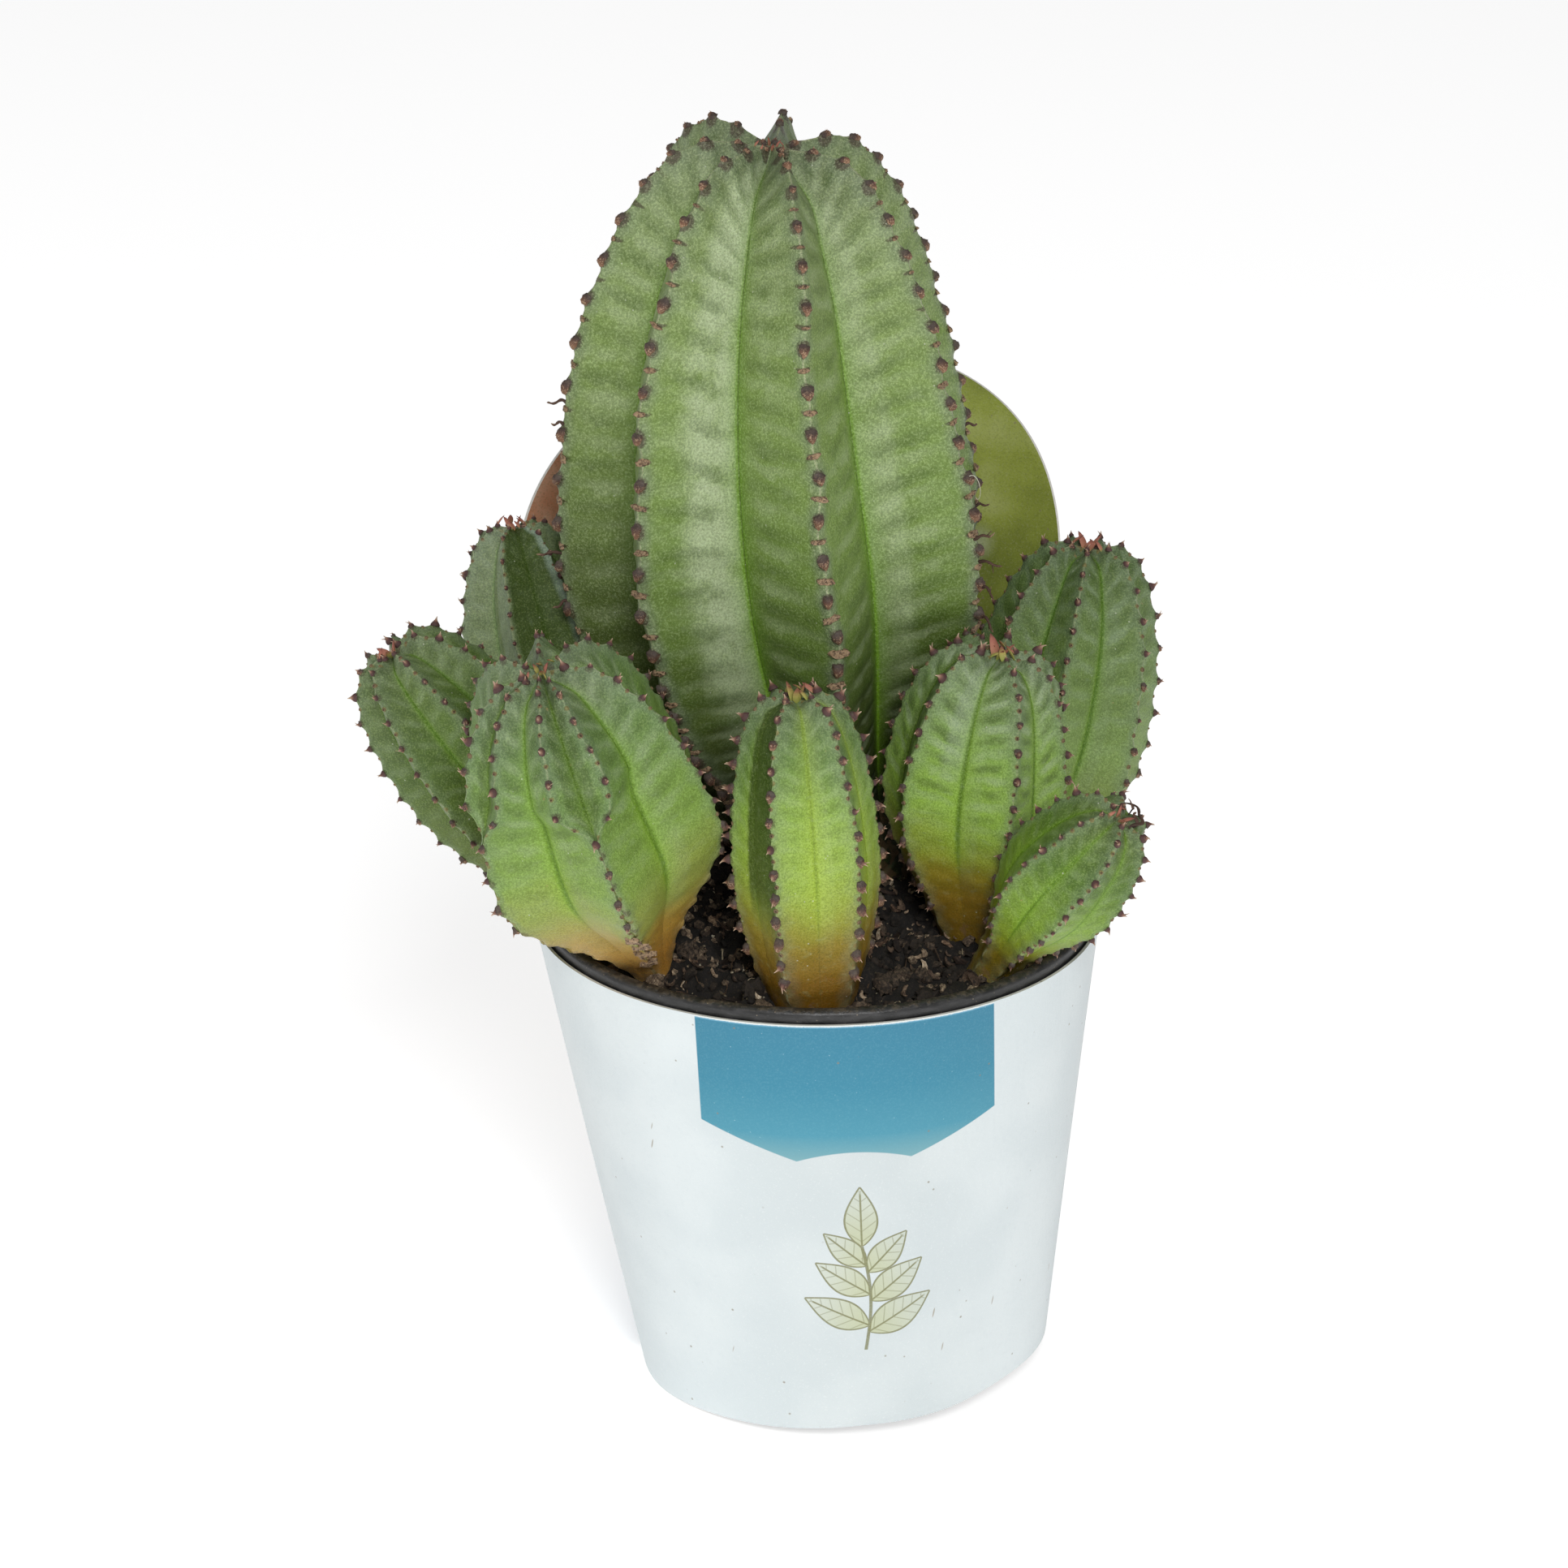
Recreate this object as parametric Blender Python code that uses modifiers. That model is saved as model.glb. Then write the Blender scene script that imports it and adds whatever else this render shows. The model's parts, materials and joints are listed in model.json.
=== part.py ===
"""Potted euphorbia: one tall ribbed stem and seven offsets in a nursery pot, inside a printed card sleeve.

Metres, +Z up. The origin is the centre of the pot's flat base, on the surface that it stands on.
The plant's front faces -Y. Azimuths are in degrees from +X, anticlockwise as seen from above.
"""

from math import atan2, cos, hypot, pi, radians, sin, tan
from typing import NamedTuple

import bmesh
import bpy
from mathutils import Vector

GAP = 0.0003  # clearance between solids that touch
MERGE = 0.00001  # points closer than this become one
CREASE = 50.0  # angle above which an edge stays sharp, in degrees
ROUND_STEPS = 48

# Nursery pot, the standard round 90 mm size
POT_HEIGHT = 0.0817
POT_RIM_RADIUS = 0.0452
POT_LIP_WIDTH = 0.0026
POT_LIP_HEIGHT = 0.0060
POT_SHOULDER_RADIUS = 0.0436
POT_BASE_RADIUS = 0.0284
POT_WALL = 0.0011
POT_ROUNDING = 0.0005
DRAIN_HOLES = 5
DRAIN_RADIUS = 0.0030
DRAIN_RING_RADIUS = 0.0190
DRAIN_SEGMENTS = 12

# Card sleeve: a crooked cone, with the top ring level and the bottom ring aside and tipped
CARD = 0.0005
SLEEVE_TOP_RADIUS = 0.0460
SLEEVE_TOP = 0.0797
SLEEVE_BOTTOM_RADIUS = 0.0340
SLEEVE_BOTTOM_SHIFT = 0.0043
SLEEVE_BOTTOM_TIP = 3.9
SLEEVE_BOTTOM_HEIGHT = 0.00275
HEADER_AZIMUTH = 98.0
HEADER_HALF_ANGLE = 54.0
HEADER_RISE = 0.0726
HEADER_LEAN = 0.36  # how far the header leans out for each metre that it rises
HEADER_SLANT = 0.10  # how much more it rises on its right, and less on its left, as a share
HEADER_ROUNDNESS = 2.2, 3.2  # powers of the arch: the first shapes its top, the second its sides
SLEEVE_COLUMNS = 72
SLEEVE_ROWS = 10

# Potting mix: filled to just under the rim, and heaped round the stems
MIX_HEAP_HEIGHT = 0.0822
MIX_EDGE_HEIGHT = 0.0776
MIX_RINGS = 0.45, 0.75  # shares of its radius at which the heaped surface bends


# Stems


class Stem(NamedTuple):
    """How one stem grew, in millimetres and degrees."""

    foot: tuple  # centre of its buried end, x and y
    tip: tuple  # the top of its axis, x, y and z
    bow: tuple  # how far the middle of its axis stands off the straight line, x and y
    radius: float  # at the rib crests, where it is widest
    widest: float  # share of its length that lies below the widest place
    neck: float  # share of the radius that is left at the foot
    dome: float  # how blunt the top is
    groove: float  # depth of the grooves, as a share of the radius
    ribs: tuple  # azimuth of each crest
    merging: tuple = ()  # pairs of neighbouring ribs that run into one rib lower down
    swell: float = 1.8  # how slowly it widens above the foot
    rings: int = 12


MM = 0.001
FOOT_DEPTH = 5.0  # how far a stem reaches into the potting mix, in millimetres
SEGMENTS_PER_RIB = 4


def even(first, count):
    return tuple(first + index * 360 / count for index in range(count))


STEMS = {
    "main_stem": Stem(
        foot=(7, 19.5), tip=(-6.8, 11, 207.8), bow=(-6.8, 1), radius=36.2, widest=0.48, neck=0.4, dome=2.8,
        groove=0.36, ribs=(-77, -28, 26, 82, 138, 197, 234), swell=1.5, rings=18,
    ),
    "offset_back_left": Stem(
        foot=(-25.5, 18), tip=(-49.6, 20.8, 137.9), bow=(-3.6, -1.6), radius=13.5, widest=0.62, neck=0.36,
        dome=3.0, groove=0.27, ribs=even(-101, 7),
    ),
    "offset_left": Stem(
        foot=(-27, -2.2), tip=(-68.4, -6.1, 127.3), bow=(-1, 0), radius=14, widest=0.6, neck=0.34,
        dome=3.2, groove=0.26, ribs=even(-118, 7),
    ),
    "offset_front_left": Stem(
        foot=(-20.6, -17.8), tip=(-42.8, -40.5, 138), bow=(-1.5, -1.5), radius=20.4, widest=0.4, neck=0.24,
        dome=2.8, groove=0.22, ribs=(-155, -131, -96, -68, -14, 38, 90, 146), merging=((0, 1), (2, 3)),
        swell=2.7, rings=14,
    ),
    "offset_front_centre": Stem(
        foot=(0.6, -31.5), tip=(-3.6, -35.3, 130.9), bow=(0.5, -1.5), radius=11.6, widest=0.5, neck=0.68,
        dome=3.8, groove=0.18, ribs=even(-114, 6),
    ),
    "offset_front_right": Stem(
        foot=(22.7, -8.4), tip=(28.7, -11.3, 129.2), bow=(0, 0), radius=15.1, widest=0.58, neck=0.42, dome=3.6,
        groove=0.2, ribs=even(-77, 7),
    ),
    "offset_back_right": Stem(
        foot=(27, 14.7), tip=(44.1, 20.8, 136), bow=(4, 0.2), radius=16.8, widest=0.42, neck=0.32, dome=2.8,
        groove=0.25, ribs=even(-110, 7), swell=2.4,
    ),
    "offset_front_right_small": Stem(
        foot=(24, -20.8), tip=(47.2, -36.4, 111.2), bow=(-0.8, 0.2), radius=10.4, widest=0.64, neck=0.32,
        dome=3.2, groove=0.2, ribs=even(-82, 6), swell=2.8, rings=10,
    ),
}

# How the skin of a stem is drawn, the same for all
SHOULDER = 1.6  # how gently the width falls away above the widest place
FLANK = 1.3  # over 1 bulges the rib flanks and keeps the crests blunt
CROWN = 0.09  # depth of the hollow round the growing point, as a share of the radius
CROWN_REACH = 0.45  # width share inside which that hollow lies
ROUND_FOOT = 0.12  # share of the length over which the ribs fade in above the foot
WIDE_GROOVE = 1.3  # a groove deepens with the spacing of its ribs, up to this many times
SOCKET_REACH = 0.02  # how far a socket reaches below its stem, as a share of the stem's length
MERGED = 0.25  # spacing that two merging ribs keep at the foot, as a share of theirs at the tip
MERGE_START, MERGE_END = 0.7, 0.4  # shares of the length between which they run together

COLORS = {
    "nursery_pot": ((0.030, 0.030, 0.032, 1.0), 0.45),
    "paper_sleeve": ((0.800, 0.850, 0.870, 1.0), 0.60),
    "potting_mix": ((0.045, 0.030, 0.020, 1.0), 0.95),
    "stem": ((0.190, 0.300, 0.080, 1.0), 0.55),
}


def clear_scene():
    for old in list(bpy.data.objects):
        bpy.data.objects.remove(old, do_unlink=True)


def new_collection(name, hidden=False):
    collection = bpy.data.collections.new(name)
    bpy.context.scene.collection.children.link(collection)
    collection.hide_render = hidden
    return collection


def new_material(name, kind):
    color, roughness = COLORS[kind]
    material = bpy.data.materials.new(name)
    material.use_nodes = True
    shader = material.node_tree.nodes["Principled BSDF"]
    shader.inputs["Base Color"].default_value = color
    shader.inputs["Roughness"].default_value = roughness
    return material


def new_object(name, mesh, collection, material=None):
    thing = bpy.data.objects.new(name, mesh)
    collection.objects.link(thing)
    if material:
        mesh.materials.append(material)
    mesh.shade_smooth()
    mesh.set_sharp_from_angle(angle=radians(CREASE))
    return thing


def make_cutter(thing):
    thing.hide_render = True
    thing.display_type = "WIRE"
    return thing


def cut(thing, cutters):
    modifier = thing.modifiers.new("Cut", "BOOLEAN")
    modifier.operation = "DIFFERENCE"
    modifier.operand_type = "COLLECTION"
    modifier.collection = cutters


def turned(name, profile, collection, material):
    """A turned solid. Its (radius, height) points start and end on the axis and run down the outside."""
    mesh = bpy.data.meshes.new(name)
    points = [(radius, 0.0, height) for radius, height in profile]
    mesh.from_pydata(points, [(index, index + 1) for index in range(len(points) - 1)], [])
    thing = new_object(name, mesh, collection, material)
    screw = thing.modifiers.new("Turn", "SCREW")
    screw.steps = ROUND_STEPS
    screw.render_steps = ROUND_STEPS
    screw.use_merge_vertices = True
    screw.merge_threshold = MERGE
    screw.use_smooth_shade = True
    return thing


# Pot and potting mix


def pot_inner_radius(height):
    """Inside of the pot's wall, from its floor to the underside of its lip."""
    shoulder = POT_HEIGHT - POT_LIP_HEIGHT
    return POT_BASE_RADIUS - POT_WALL + (POT_SHOULDER_RADIUS - POT_BASE_RADIUS) * height / shoulder


def make_pot(collection, cutters):
    shoulder = POT_HEIGHT - POT_LIP_HEIGHT
    lip_inside = POT_RIM_RADIUS - POT_LIP_WIDTH
    sleeve_taper = (SLEEVE_TOP_RADIUS - SLEEVE_BOTTOM_RADIUS) / SLEEVE_TOP
    lip_foot = SLEEVE_TOP_RADIUS - CARD - GAP - POT_LIP_HEIGHT * sleeve_taper
    profile = [
        (0.0, POT_WALL),
        (pot_inner_radius(POT_WALL), POT_WALL),
        (pot_inner_radius(shoulder), shoulder),
        (lip_inside, POT_HEIGHT - POT_ROUNDING),
        (lip_inside + POT_ROUNDING, POT_HEIGHT),
        (POT_RIM_RADIUS - POT_ROUNDING, POT_HEIGHT),
        (POT_RIM_RADIUS, POT_HEIGHT - POT_ROUNDING),
        (lip_foot, shoulder),
        (POT_SHOULDER_RADIUS, shoulder - POT_ROUNDING),
        (POT_BASE_RADIUS, POT_ROUNDING),
        (POT_BASE_RADIUS - POT_ROUNDING, 0.0),
        (0.0, 0.0),
    ]
    pot = turned("nursery_pot", profile, collection, new_material("black_plastic", "nursery_pot"))
    for index in range(DRAIN_HOLES):
        angle = 2 * pi * index / DRAIN_HOLES
        mesh = bpy.data.meshes.new("drain_hole")
        bm = bmesh.new()
        bmesh.ops.create_cone(
            bm,
            cap_ends=True,
            segments=DRAIN_SEGMENTS,
            radius1=DRAIN_RADIUS,
            radius2=DRAIN_RADIUS,
            depth=6 * POT_WALL,
        )
        bm.to_mesh(mesh)
        bm.free()
        hole = make_cutter(new_object(f"drain_hole_{index + 1}", mesh, cutters))
        hole.location = (DRAIN_RING_RADIUS * cos(angle), DRAIN_RING_RADIUS * sin(angle), 0.0)
    cut(pot, cutters)


def mix_height(radius):
    """Height of the heaped surface at a distance from the pot's axis."""
    share = min(radius / POT_RIM_RADIUS, 1.0)
    return MIX_HEAP_HEIGHT + (MIX_EDGE_HEIGHT - MIX_HEAP_HEIGHT) * share * share


def make_mix(collection, cutters):
    floor = POT_WALL + GAP
    edge = min(pot_inner_radius(MIX_EDGE_HEIGHT), POT_RIM_RADIUS - POT_LIP_WIDTH) - GAP
    profile = [(0.0, MIX_HEAP_HEIGHT)]
    for share in (*MIX_RINGS, 1.0):
        profile.append((share * edge, mix_height(share * edge)))
    profile.append((pot_inner_radius(floor) - GAP, floor))
    profile.append((0.0, floor))
    mix = turned("potting_mix", profile, collection, new_material("peat_mix", "potting_mix"))
    cut(mix, cutters)


# Card sleeve


def sleeve_bottom_height(azimuth):
    return SLEEVE_BOTTOM_HEIGHT + SLEEVE_BOTTOM_RADIUS * cos(azimuth) * tan(radians(SLEEVE_BOTTOM_TIP))


def header_height(share):
    """Height of the header's edge above the rim, at a share of the way from its middle to its side."""
    top, side = HEADER_ROUNDNESS
    return HEADER_RISE * (1 - HEADER_SLANT * share) * max(1 - abs(share) ** top, 0.0) ** (1 / side)


def sleeve_point(azimuth, height):
    """A point on the outside of the card, on the straight line from bottom ring to top ring and beyond."""
    low = sleeve_bottom_height(azimuth)
    share = (min(height, SLEEVE_TOP) - low) / (SLEEVE_TOP - low)
    radius = SLEEVE_BOTTOM_RADIUS + (SLEEVE_TOP_RADIUS - SLEEVE_BOTTOM_RADIUS) * share
    radius += HEADER_LEAN * max(height - SLEEVE_TOP, 0.0)
    aside = SLEEVE_BOTTOM_SHIFT * (1 - share)
    return Vector((aside + radius * cos(azimuth), radius * sin(azimuth), height))


def card_point(across, up):
    """A point of the card: across runs from -2 to 2, with the header inside 1, and up from 0 to 1."""
    half = radians(HEADER_HALF_ANGLE)
    if abs(across) < 1:
        turn = half * sin(pi / 2 * across)
        rise = header_height(turn / half)
        azimuth = radians(HEADER_AZIMUTH) + turn
        low = sleeve_bottom_height(azimuth)
        height = low + (SLEEVE_TOP - low) * min(2 * up, 1.0) + rise * max(2 * up - 1, 0.0)
    else:
        turn = half + (pi - half) * (abs(across) - 1)
        azimuth = radians(HEADER_AZIMUTH) + (turn if across > 0 else -turn)
        low = sleeve_bottom_height(azimuth)
        height = low + (SLEEVE_TOP - low) * up
    return sleeve_point(azimuth, height)


def make_sleeve(collection):
    bm = bmesh.new()
    bmesh.ops.create_grid(bm, x_segments=SLEEVE_COLUMNS, y_segments=SLEEVE_ROWS, size=1.0)
    for vert in bm.verts:
        vert.co = card_point(2 * vert.co.x, (vert.co.y + 1) / 2)
    bmesh.ops.remove_doubles(bm, verts=bm.verts, dist=MERGE)
    mesh = bpy.data.meshes.new("paper_sleeve")
    bm.to_mesh(mesh)
    bm.free()
    sleeve = new_object("paper_sleeve", mesh, collection, new_material("printed_card", "paper_sleeve"))
    solidify = sleeve.modifiers.new("Card", "SOLIDIFY")
    solidify.thickness = CARD
    solidify.offset = -1.0


# Growth of a stem


def smooth_step(value):
    value = min(max(value, 0.0), 1.0)
    return value * value * (3 - 2 * value)


def crest_width(stem, along):
    """Share of the full radius that the crests reach at a share of the stem's length."""
    if along < stem.widest:
        rise = sin(pi / 2 * max(along, 0.0) / stem.widest) ** stem.swell
        return stem.neck + (1 - stem.neck) * rise
    fall = ((min(along, 1.0) - stem.widest) / (1 - stem.widest)) ** SHOULDER
    return max(1 - fall, 0.0) ** (1 / stem.dome)


def rib_azimuths(stem, along):
    """The crests' azimuths at a share of the length, with the first one repeated a full turn later."""
    azimuths = list(stem.ribs)
    together = smooth_step((MERGE_START - along) / (MERGE_START - MERGE_END)) * (1 - MERGED)
    for first, second in stem.merging:
        middle = (azimuths[first] + azimuths[second]) / 2
        azimuths[first] += (middle - azimuths[first]) * together
        azimuths[second] += (middle - azimuths[second]) * together
    return azimuths + [azimuths[0] + 360]


def stem_frame(stem, along):
    """Centre of the stem at a share of its length, and its sideways, backward and upward directions."""
    surface = mix_height(hypot(*stem.foot) * MM) / MM
    foot = Vector((*stem.foot, surface - FOOT_DEPTH))
    tip = Vector(stem.tip)
    bow = Vector((*stem.bow, 0.0))
    centre = foot.lerp(tip, along) + bow * 4 * along * (1 - along)
    up = (tip - foot + bow * 4 * (1 - 2 * along)).normalized()
    side = Vector((0.0, 1.0, 0.0)).cross(up).normalized()
    return centre, side, up.cross(side), up


def skin_point(stem, along, meridian, grooved, swell):
    """The point of the skin on a meridian, of which each rib takes an equal number, in millimetres."""
    azimuths = rib_azimuths(stem, along)
    rib, step = divmod(meridian, SEGMENTS_PER_RIB)
    share = step / SEGMENTS_PER_RIB
    spacing = azimuths[rib + 1] - azimuths[rib]
    azimuth = radians(azimuths[rib] + spacing * share)
    width = crest_width(stem, along)
    inward = 0.0
    if grooved:
        deepening = min(spacing * len(stem.ribs) / 360, WIDE_GROOVE)
        fading_in = smooth_step(along / ROUND_FOOT)
        inward = stem.groove * deepening * fading_in * (1 - abs(2 * share - 1)) ** FLANK
    radius = stem.radius * width * (1 - inward) + swell
    hollow = CROWN * stem.radius * (1 - smooth_step(width / CROWN_REACH)) if along > stem.widest else 0.0
    centre, side, back, up = stem_frame(stem, along)
    return centre + side * (radius * cos(azimuth)) + back * (radius * sin(azimuth)) - up * hollow


def pole_point(stem, along):
    """The middle of the stem's top, in its hollow, or of its foot."""
    centre, _, _, up = stem_frame(stem, along)
    return centre - up * (CROWN * stem.radius) if along > stem.widest else centre


def grow(name, stem, collection, material=None, grooved=True, swell=0.0, reach=0.0):
    """The stem's skin, drawn out from a sphere whose meridians follow the crests and grooves."""
    meridians = len(stem.ribs) * SEGMENTS_PER_RIB
    bm = bmesh.new()
    bmesh.ops.create_uvsphere(bm, u_segments=meridians, v_segments=stem.rings, radius=1.0)
    for vert in bm.verts:
        along = (1 + vert.co.z) / 2 * (1 + reach) - reach
        if vert.co.xy.length < MERGE:
            vert.co = pole_point(stem, along) * MM
        else:
            turn = atan2(vert.co.y, vert.co.x) / (2 * pi)
            vert.co = skin_point(stem, along, round(turn * meridians) % meridians, grooved, swell) * MM
    mesh = bpy.data.meshes.new(name)
    bm.to_mesh(mesh)
    bm.free()
    return new_object(name, mesh, collection, material)


def make_stems(collection, sockets):
    """Each stem, and a smooth swollen copy of it that cuts its socket in the potting mix."""
    for name, stem in STEMS.items():
        grow(name, stem, collection, new_material(f"{name}_skin", "stem"))
        socket = grow(f"{name}_socket", stem, sockets, grooved=False, swell=GAP / MM, reach=SOCKET_REACH)
        make_cutter(socket)


def main():
    clear_scene()
    plant = new_collection("potted_euphorbia")
    drains = new_collection("drain_cutters", hidden=True)
    sockets = new_collection("socket_cutters", hidden=True)
    make_pot(plant, drains)
    make_sleeve(plant)
    make_stems(plant, sockets)
    make_mix(plant, sockets)


main()
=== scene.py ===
"""Potted euphorbia, dressed: ribbed skins with teeth, scars and leaflets, bark mix, turned pot, printed card.

Growth is worked out in millimetres, the rest in metres. +Z is up and the plant's front faces -Y.
"""

import json
from math import cos, hypot, pi, radians, sin, tan
from typing import NamedTuple

import bmesh
import bpy
import numpy as np
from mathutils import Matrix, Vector

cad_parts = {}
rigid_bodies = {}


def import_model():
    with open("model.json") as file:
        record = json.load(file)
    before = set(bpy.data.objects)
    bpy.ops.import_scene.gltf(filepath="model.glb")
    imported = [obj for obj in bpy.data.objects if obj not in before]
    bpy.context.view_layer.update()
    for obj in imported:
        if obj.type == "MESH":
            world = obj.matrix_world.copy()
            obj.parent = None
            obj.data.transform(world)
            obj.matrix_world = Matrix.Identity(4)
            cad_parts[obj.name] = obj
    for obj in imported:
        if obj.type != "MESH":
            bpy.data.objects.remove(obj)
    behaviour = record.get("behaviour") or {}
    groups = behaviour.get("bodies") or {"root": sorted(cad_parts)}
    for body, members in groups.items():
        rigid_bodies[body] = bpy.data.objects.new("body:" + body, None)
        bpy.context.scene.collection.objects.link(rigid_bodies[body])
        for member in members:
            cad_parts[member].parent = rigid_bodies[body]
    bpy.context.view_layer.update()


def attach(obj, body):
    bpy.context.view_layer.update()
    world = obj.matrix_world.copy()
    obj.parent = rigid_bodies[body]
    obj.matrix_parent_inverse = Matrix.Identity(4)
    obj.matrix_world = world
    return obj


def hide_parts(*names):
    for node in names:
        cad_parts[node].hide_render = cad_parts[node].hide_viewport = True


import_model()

MM = 0.001

# The same named values as the solids, in metres
GAP = 0.0003  # clearance between pieces that touch
POT_HEIGHT = 0.0817
POT_RIM_RADIUS = 0.0452
POT_LIP_WIDTH = 0.0026
POT_LIP_HEIGHT = 0.0060
POT_SHOULDER_RADIUS = 0.0436
POT_BASE_RADIUS = 0.0284
POT_WALL = 0.0011
DRAIN_HOLES = 5
DRAIN_RADIUS = 0.0030
DRAIN_RING_RADIUS = 0.0190
CARD = 0.0005
SLEEVE_TOP_RADIUS = 0.0460
SLEEVE_TOP = 0.0797
SLEEVE_BOTTOM_RADIUS = 0.0340
SLEEVE_BOTTOM_SHIFT = 0.0043
SLEEVE_BOTTOM_TIP = 3.9  # degrees
SLEEVE_BOTTOM_HEIGHT = 0.00275
HEADER_AZIMUTH = 98.0
HEADER_HALF_ANGLE = 54.0
HEADER_RISE = 0.0726
HEADER_LEAN = 0.36  # how far the header leans out for each metre that it rises
HEADER_SLANT = 0.10  # how much more it rises on its right, and less on its left, as a share
HEADER_ROUNDNESS = 2.2, 3.2  # powers of the arch: the first shapes its top, the second its sides
MIX_HEAP_HEIGHT = 0.0822
MIX_EDGE_HEIGHT = 0.0776

MAIN_RADIUS = 36.2  # of the tall stem, in millimetres


class Stem(NamedTuple):
    """How one stem grew, in millimetres and degrees, and what its crests carry."""

    foot: tuple
    tip: tuple
    bow: tuple  # how far its middle stands off the straight line between them
    radius: float
    widest: float  # share of its length at which it is widest
    neck: float  # width at its foot, as a share of its widest
    dome: float  # how blunt its top is
    groove: float  # depth of its grooves, as a share of its radius
    ribs: tuple  # azimuths of its crests
    merging: tuple = ()  # pairs of crests that run together lower down
    swell: float = 1.8  # how late it widens above its foot
    pitch: tuple = (3.4, 4.6, 4.6, 3.2)  # spacing of the teeth, from foot to tip
    blunt: float = 0.22  # half width of the rounded crest
    tooth: float = 1.0  # size of its teeth
    leaflet: float = 3.2  # length of its longest tip leaflet
    rosy: float = 0.8  # share of its leaflets that are rosy
    scarred: float = 0.0  # length from its foot where its teeth have worn down to scars

    @property
    def tall(self):
        return self.radius == MAIN_RADIUS


FOOT_DEPTH = 5.0  # how far a stem reaches into the potting mix, in millimetres
SHOULDER = 1.6  # how gently the width falls away above the widest place
CROWN = 0.09  # depth of the hollow round the growing point, as a share of the radius
CROWN_REACH = 0.45  # width share inside which that hollow lies
ROUND_FOOT = 0.12  # share of the tall stem's length over which its ribs fade in above the foot
SLOW_FOOT = 2.4  # how many times longer that takes on an offset
FLATNESS = 0.72  # 1 for flat rib flanks, 0 for bulging ones
WIDE_GROOVE = 1.3  # a groove deepens with the spacing of its ribs, up to this many times
MERGED = 0.06  # spacing that two merging ribs keep at the foot, as a share of theirs at the tip
MERGE_START, MERGE_END = 0.76, 0.67  # shares of the length between which they run together
SWAYS = ((0.55, 23.0), (0.3, 11.0))  # soft waves of the flanks: size, and length of a turn
ZIGZAG = 0.28  # how far the tall stem's crests swing aside from tooth to tooth
TOOTH_REACH, BEAD_REACH = 1.15, 0.8  # half lengths of the bumps under teeth and under beads
BEAD_RISE, CREST_DIP = 0.25, 0.35  # height of a bump under a bead, and depth of the dips beside teeth
LUMPS = 0.22  # height of the flanks' soft lumps


def even(first, count):
    """Azimuths of ribs that are spaced evenly."""
    return tuple(first + index * 360 / count for index in range(count))


STEMS = {
    "main_stem": Stem(
        foot=(7, 19.5), tip=(-6.8, 11, 207.8), bow=(-6.8, 1), radius=MAIN_RADIUS, widest=0.48, neck=0.4,
        dome=2.8, groove=0.36, ribs=(-77, -28, 26, 82, 138, 197, 234), swell=1.5,
        pitch=(2.8, 3.6, 6.6, 7.2, 6.4, 5.4), blunt=0.8, tooth=1.08, leaflet=2.4,
    ),
    "offset_back_left": Stem(
        foot=(-25.5, 18), tip=(-49.4, 20.8, 139.4), bow=(-3.6, -1.6), radius=14.4, widest=0.58, neck=0.34,
        dome=2.4, groove=0.27, ribs=even(-101, 7), pitch=(3.4, 4.6, 4.6, 3.6), tooth=0.78,
    ),
    "offset_left": Stem(
        foot=(-27, -2.2), tip=(-68.4, -6.1, 127.3), bow=(-1, 0), radius=14, widest=0.6, neck=0.34,
        dome=3.2, groove=0.26, ribs=even(-118, 7), pitch=(3.2, 4.6, 5.0, 3.6), tooth=0.86,
    ),
    "offset_front_left": Stem(
        foot=(-24.3, -22.9), tip=(-42.8, -40.5, 138), bow=(-1.1, 0.7), radius=20.4, widest=0.5, neck=0.13,
        dome=2.8, groove=0.22, ribs=(-155, -131, -96, -68, -14, 38, 90, 146), merging=((2, 3), (0, 1)),
        swell=2.3, pitch=(4.4, 5.9, 5.9, 3.8), leaflet=2.6, scarred=30.0,
    ),
    "offset_front_centre": Stem(
        foot=(-0.6, -31.5), tip=(-3.6, -35.3, 130.9), bow=(0.3, -1.5), radius=11.6, widest=0.5, neck=0.5,
        dome=3.8, groove=0.17, ribs=(-116, -46, 12, 68, 126, 184), swell=1.0,
        pitch=(3.6, 4.1, 4.1, 3.4), tooth=1.15, leaflet=4.6, rosy=0.2,
    ),
    "offset_front_right": Stem(
        foot=(25.8, -9.2), tip=(28.7, -11.3, 129.2), bow=(-1.9, 0), radius=15.1, widest=0.56, neck=0.34,
        dome=3.6, groove=0.2, ribs=(-71, -26, 26, 77, 128, 173, 217), pitch=(3.8, 4.5, 4.7, 3.6),
        leaflet=4.4, rosy=0.35,
    ),
    "offset_back_right": Stem(
        foot=(27, 14.7), tip=(44.1, 20.8, 136), bow=(3.2, 0.2), radius=16.8, widest=0.42, neck=0.28,
        dome=2.8, groove=0.25, ribs=(-97, -41, 10, 61, 112, 163, 213), swell=2.2,
        pitch=(3.6, 4.8, 5.2, 3.8), tooth=0.9, leaflet=4.0,
    ),
    "offset_front_right_small": Stem(
        foot=(25.7, -20.5), tip=(47.2, -36.4, 111.2), bow=(-1.2, 0.2), radius=10.2, widest=0.64, neck=0.32,
        dome=3.2, groove=0.2, ribs=even(-82, 6), swell=3.2, pitch=(3.2, 4.0, 4.0, 3.0), tooth=0.85,
    ),
}


# Finishes


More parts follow.
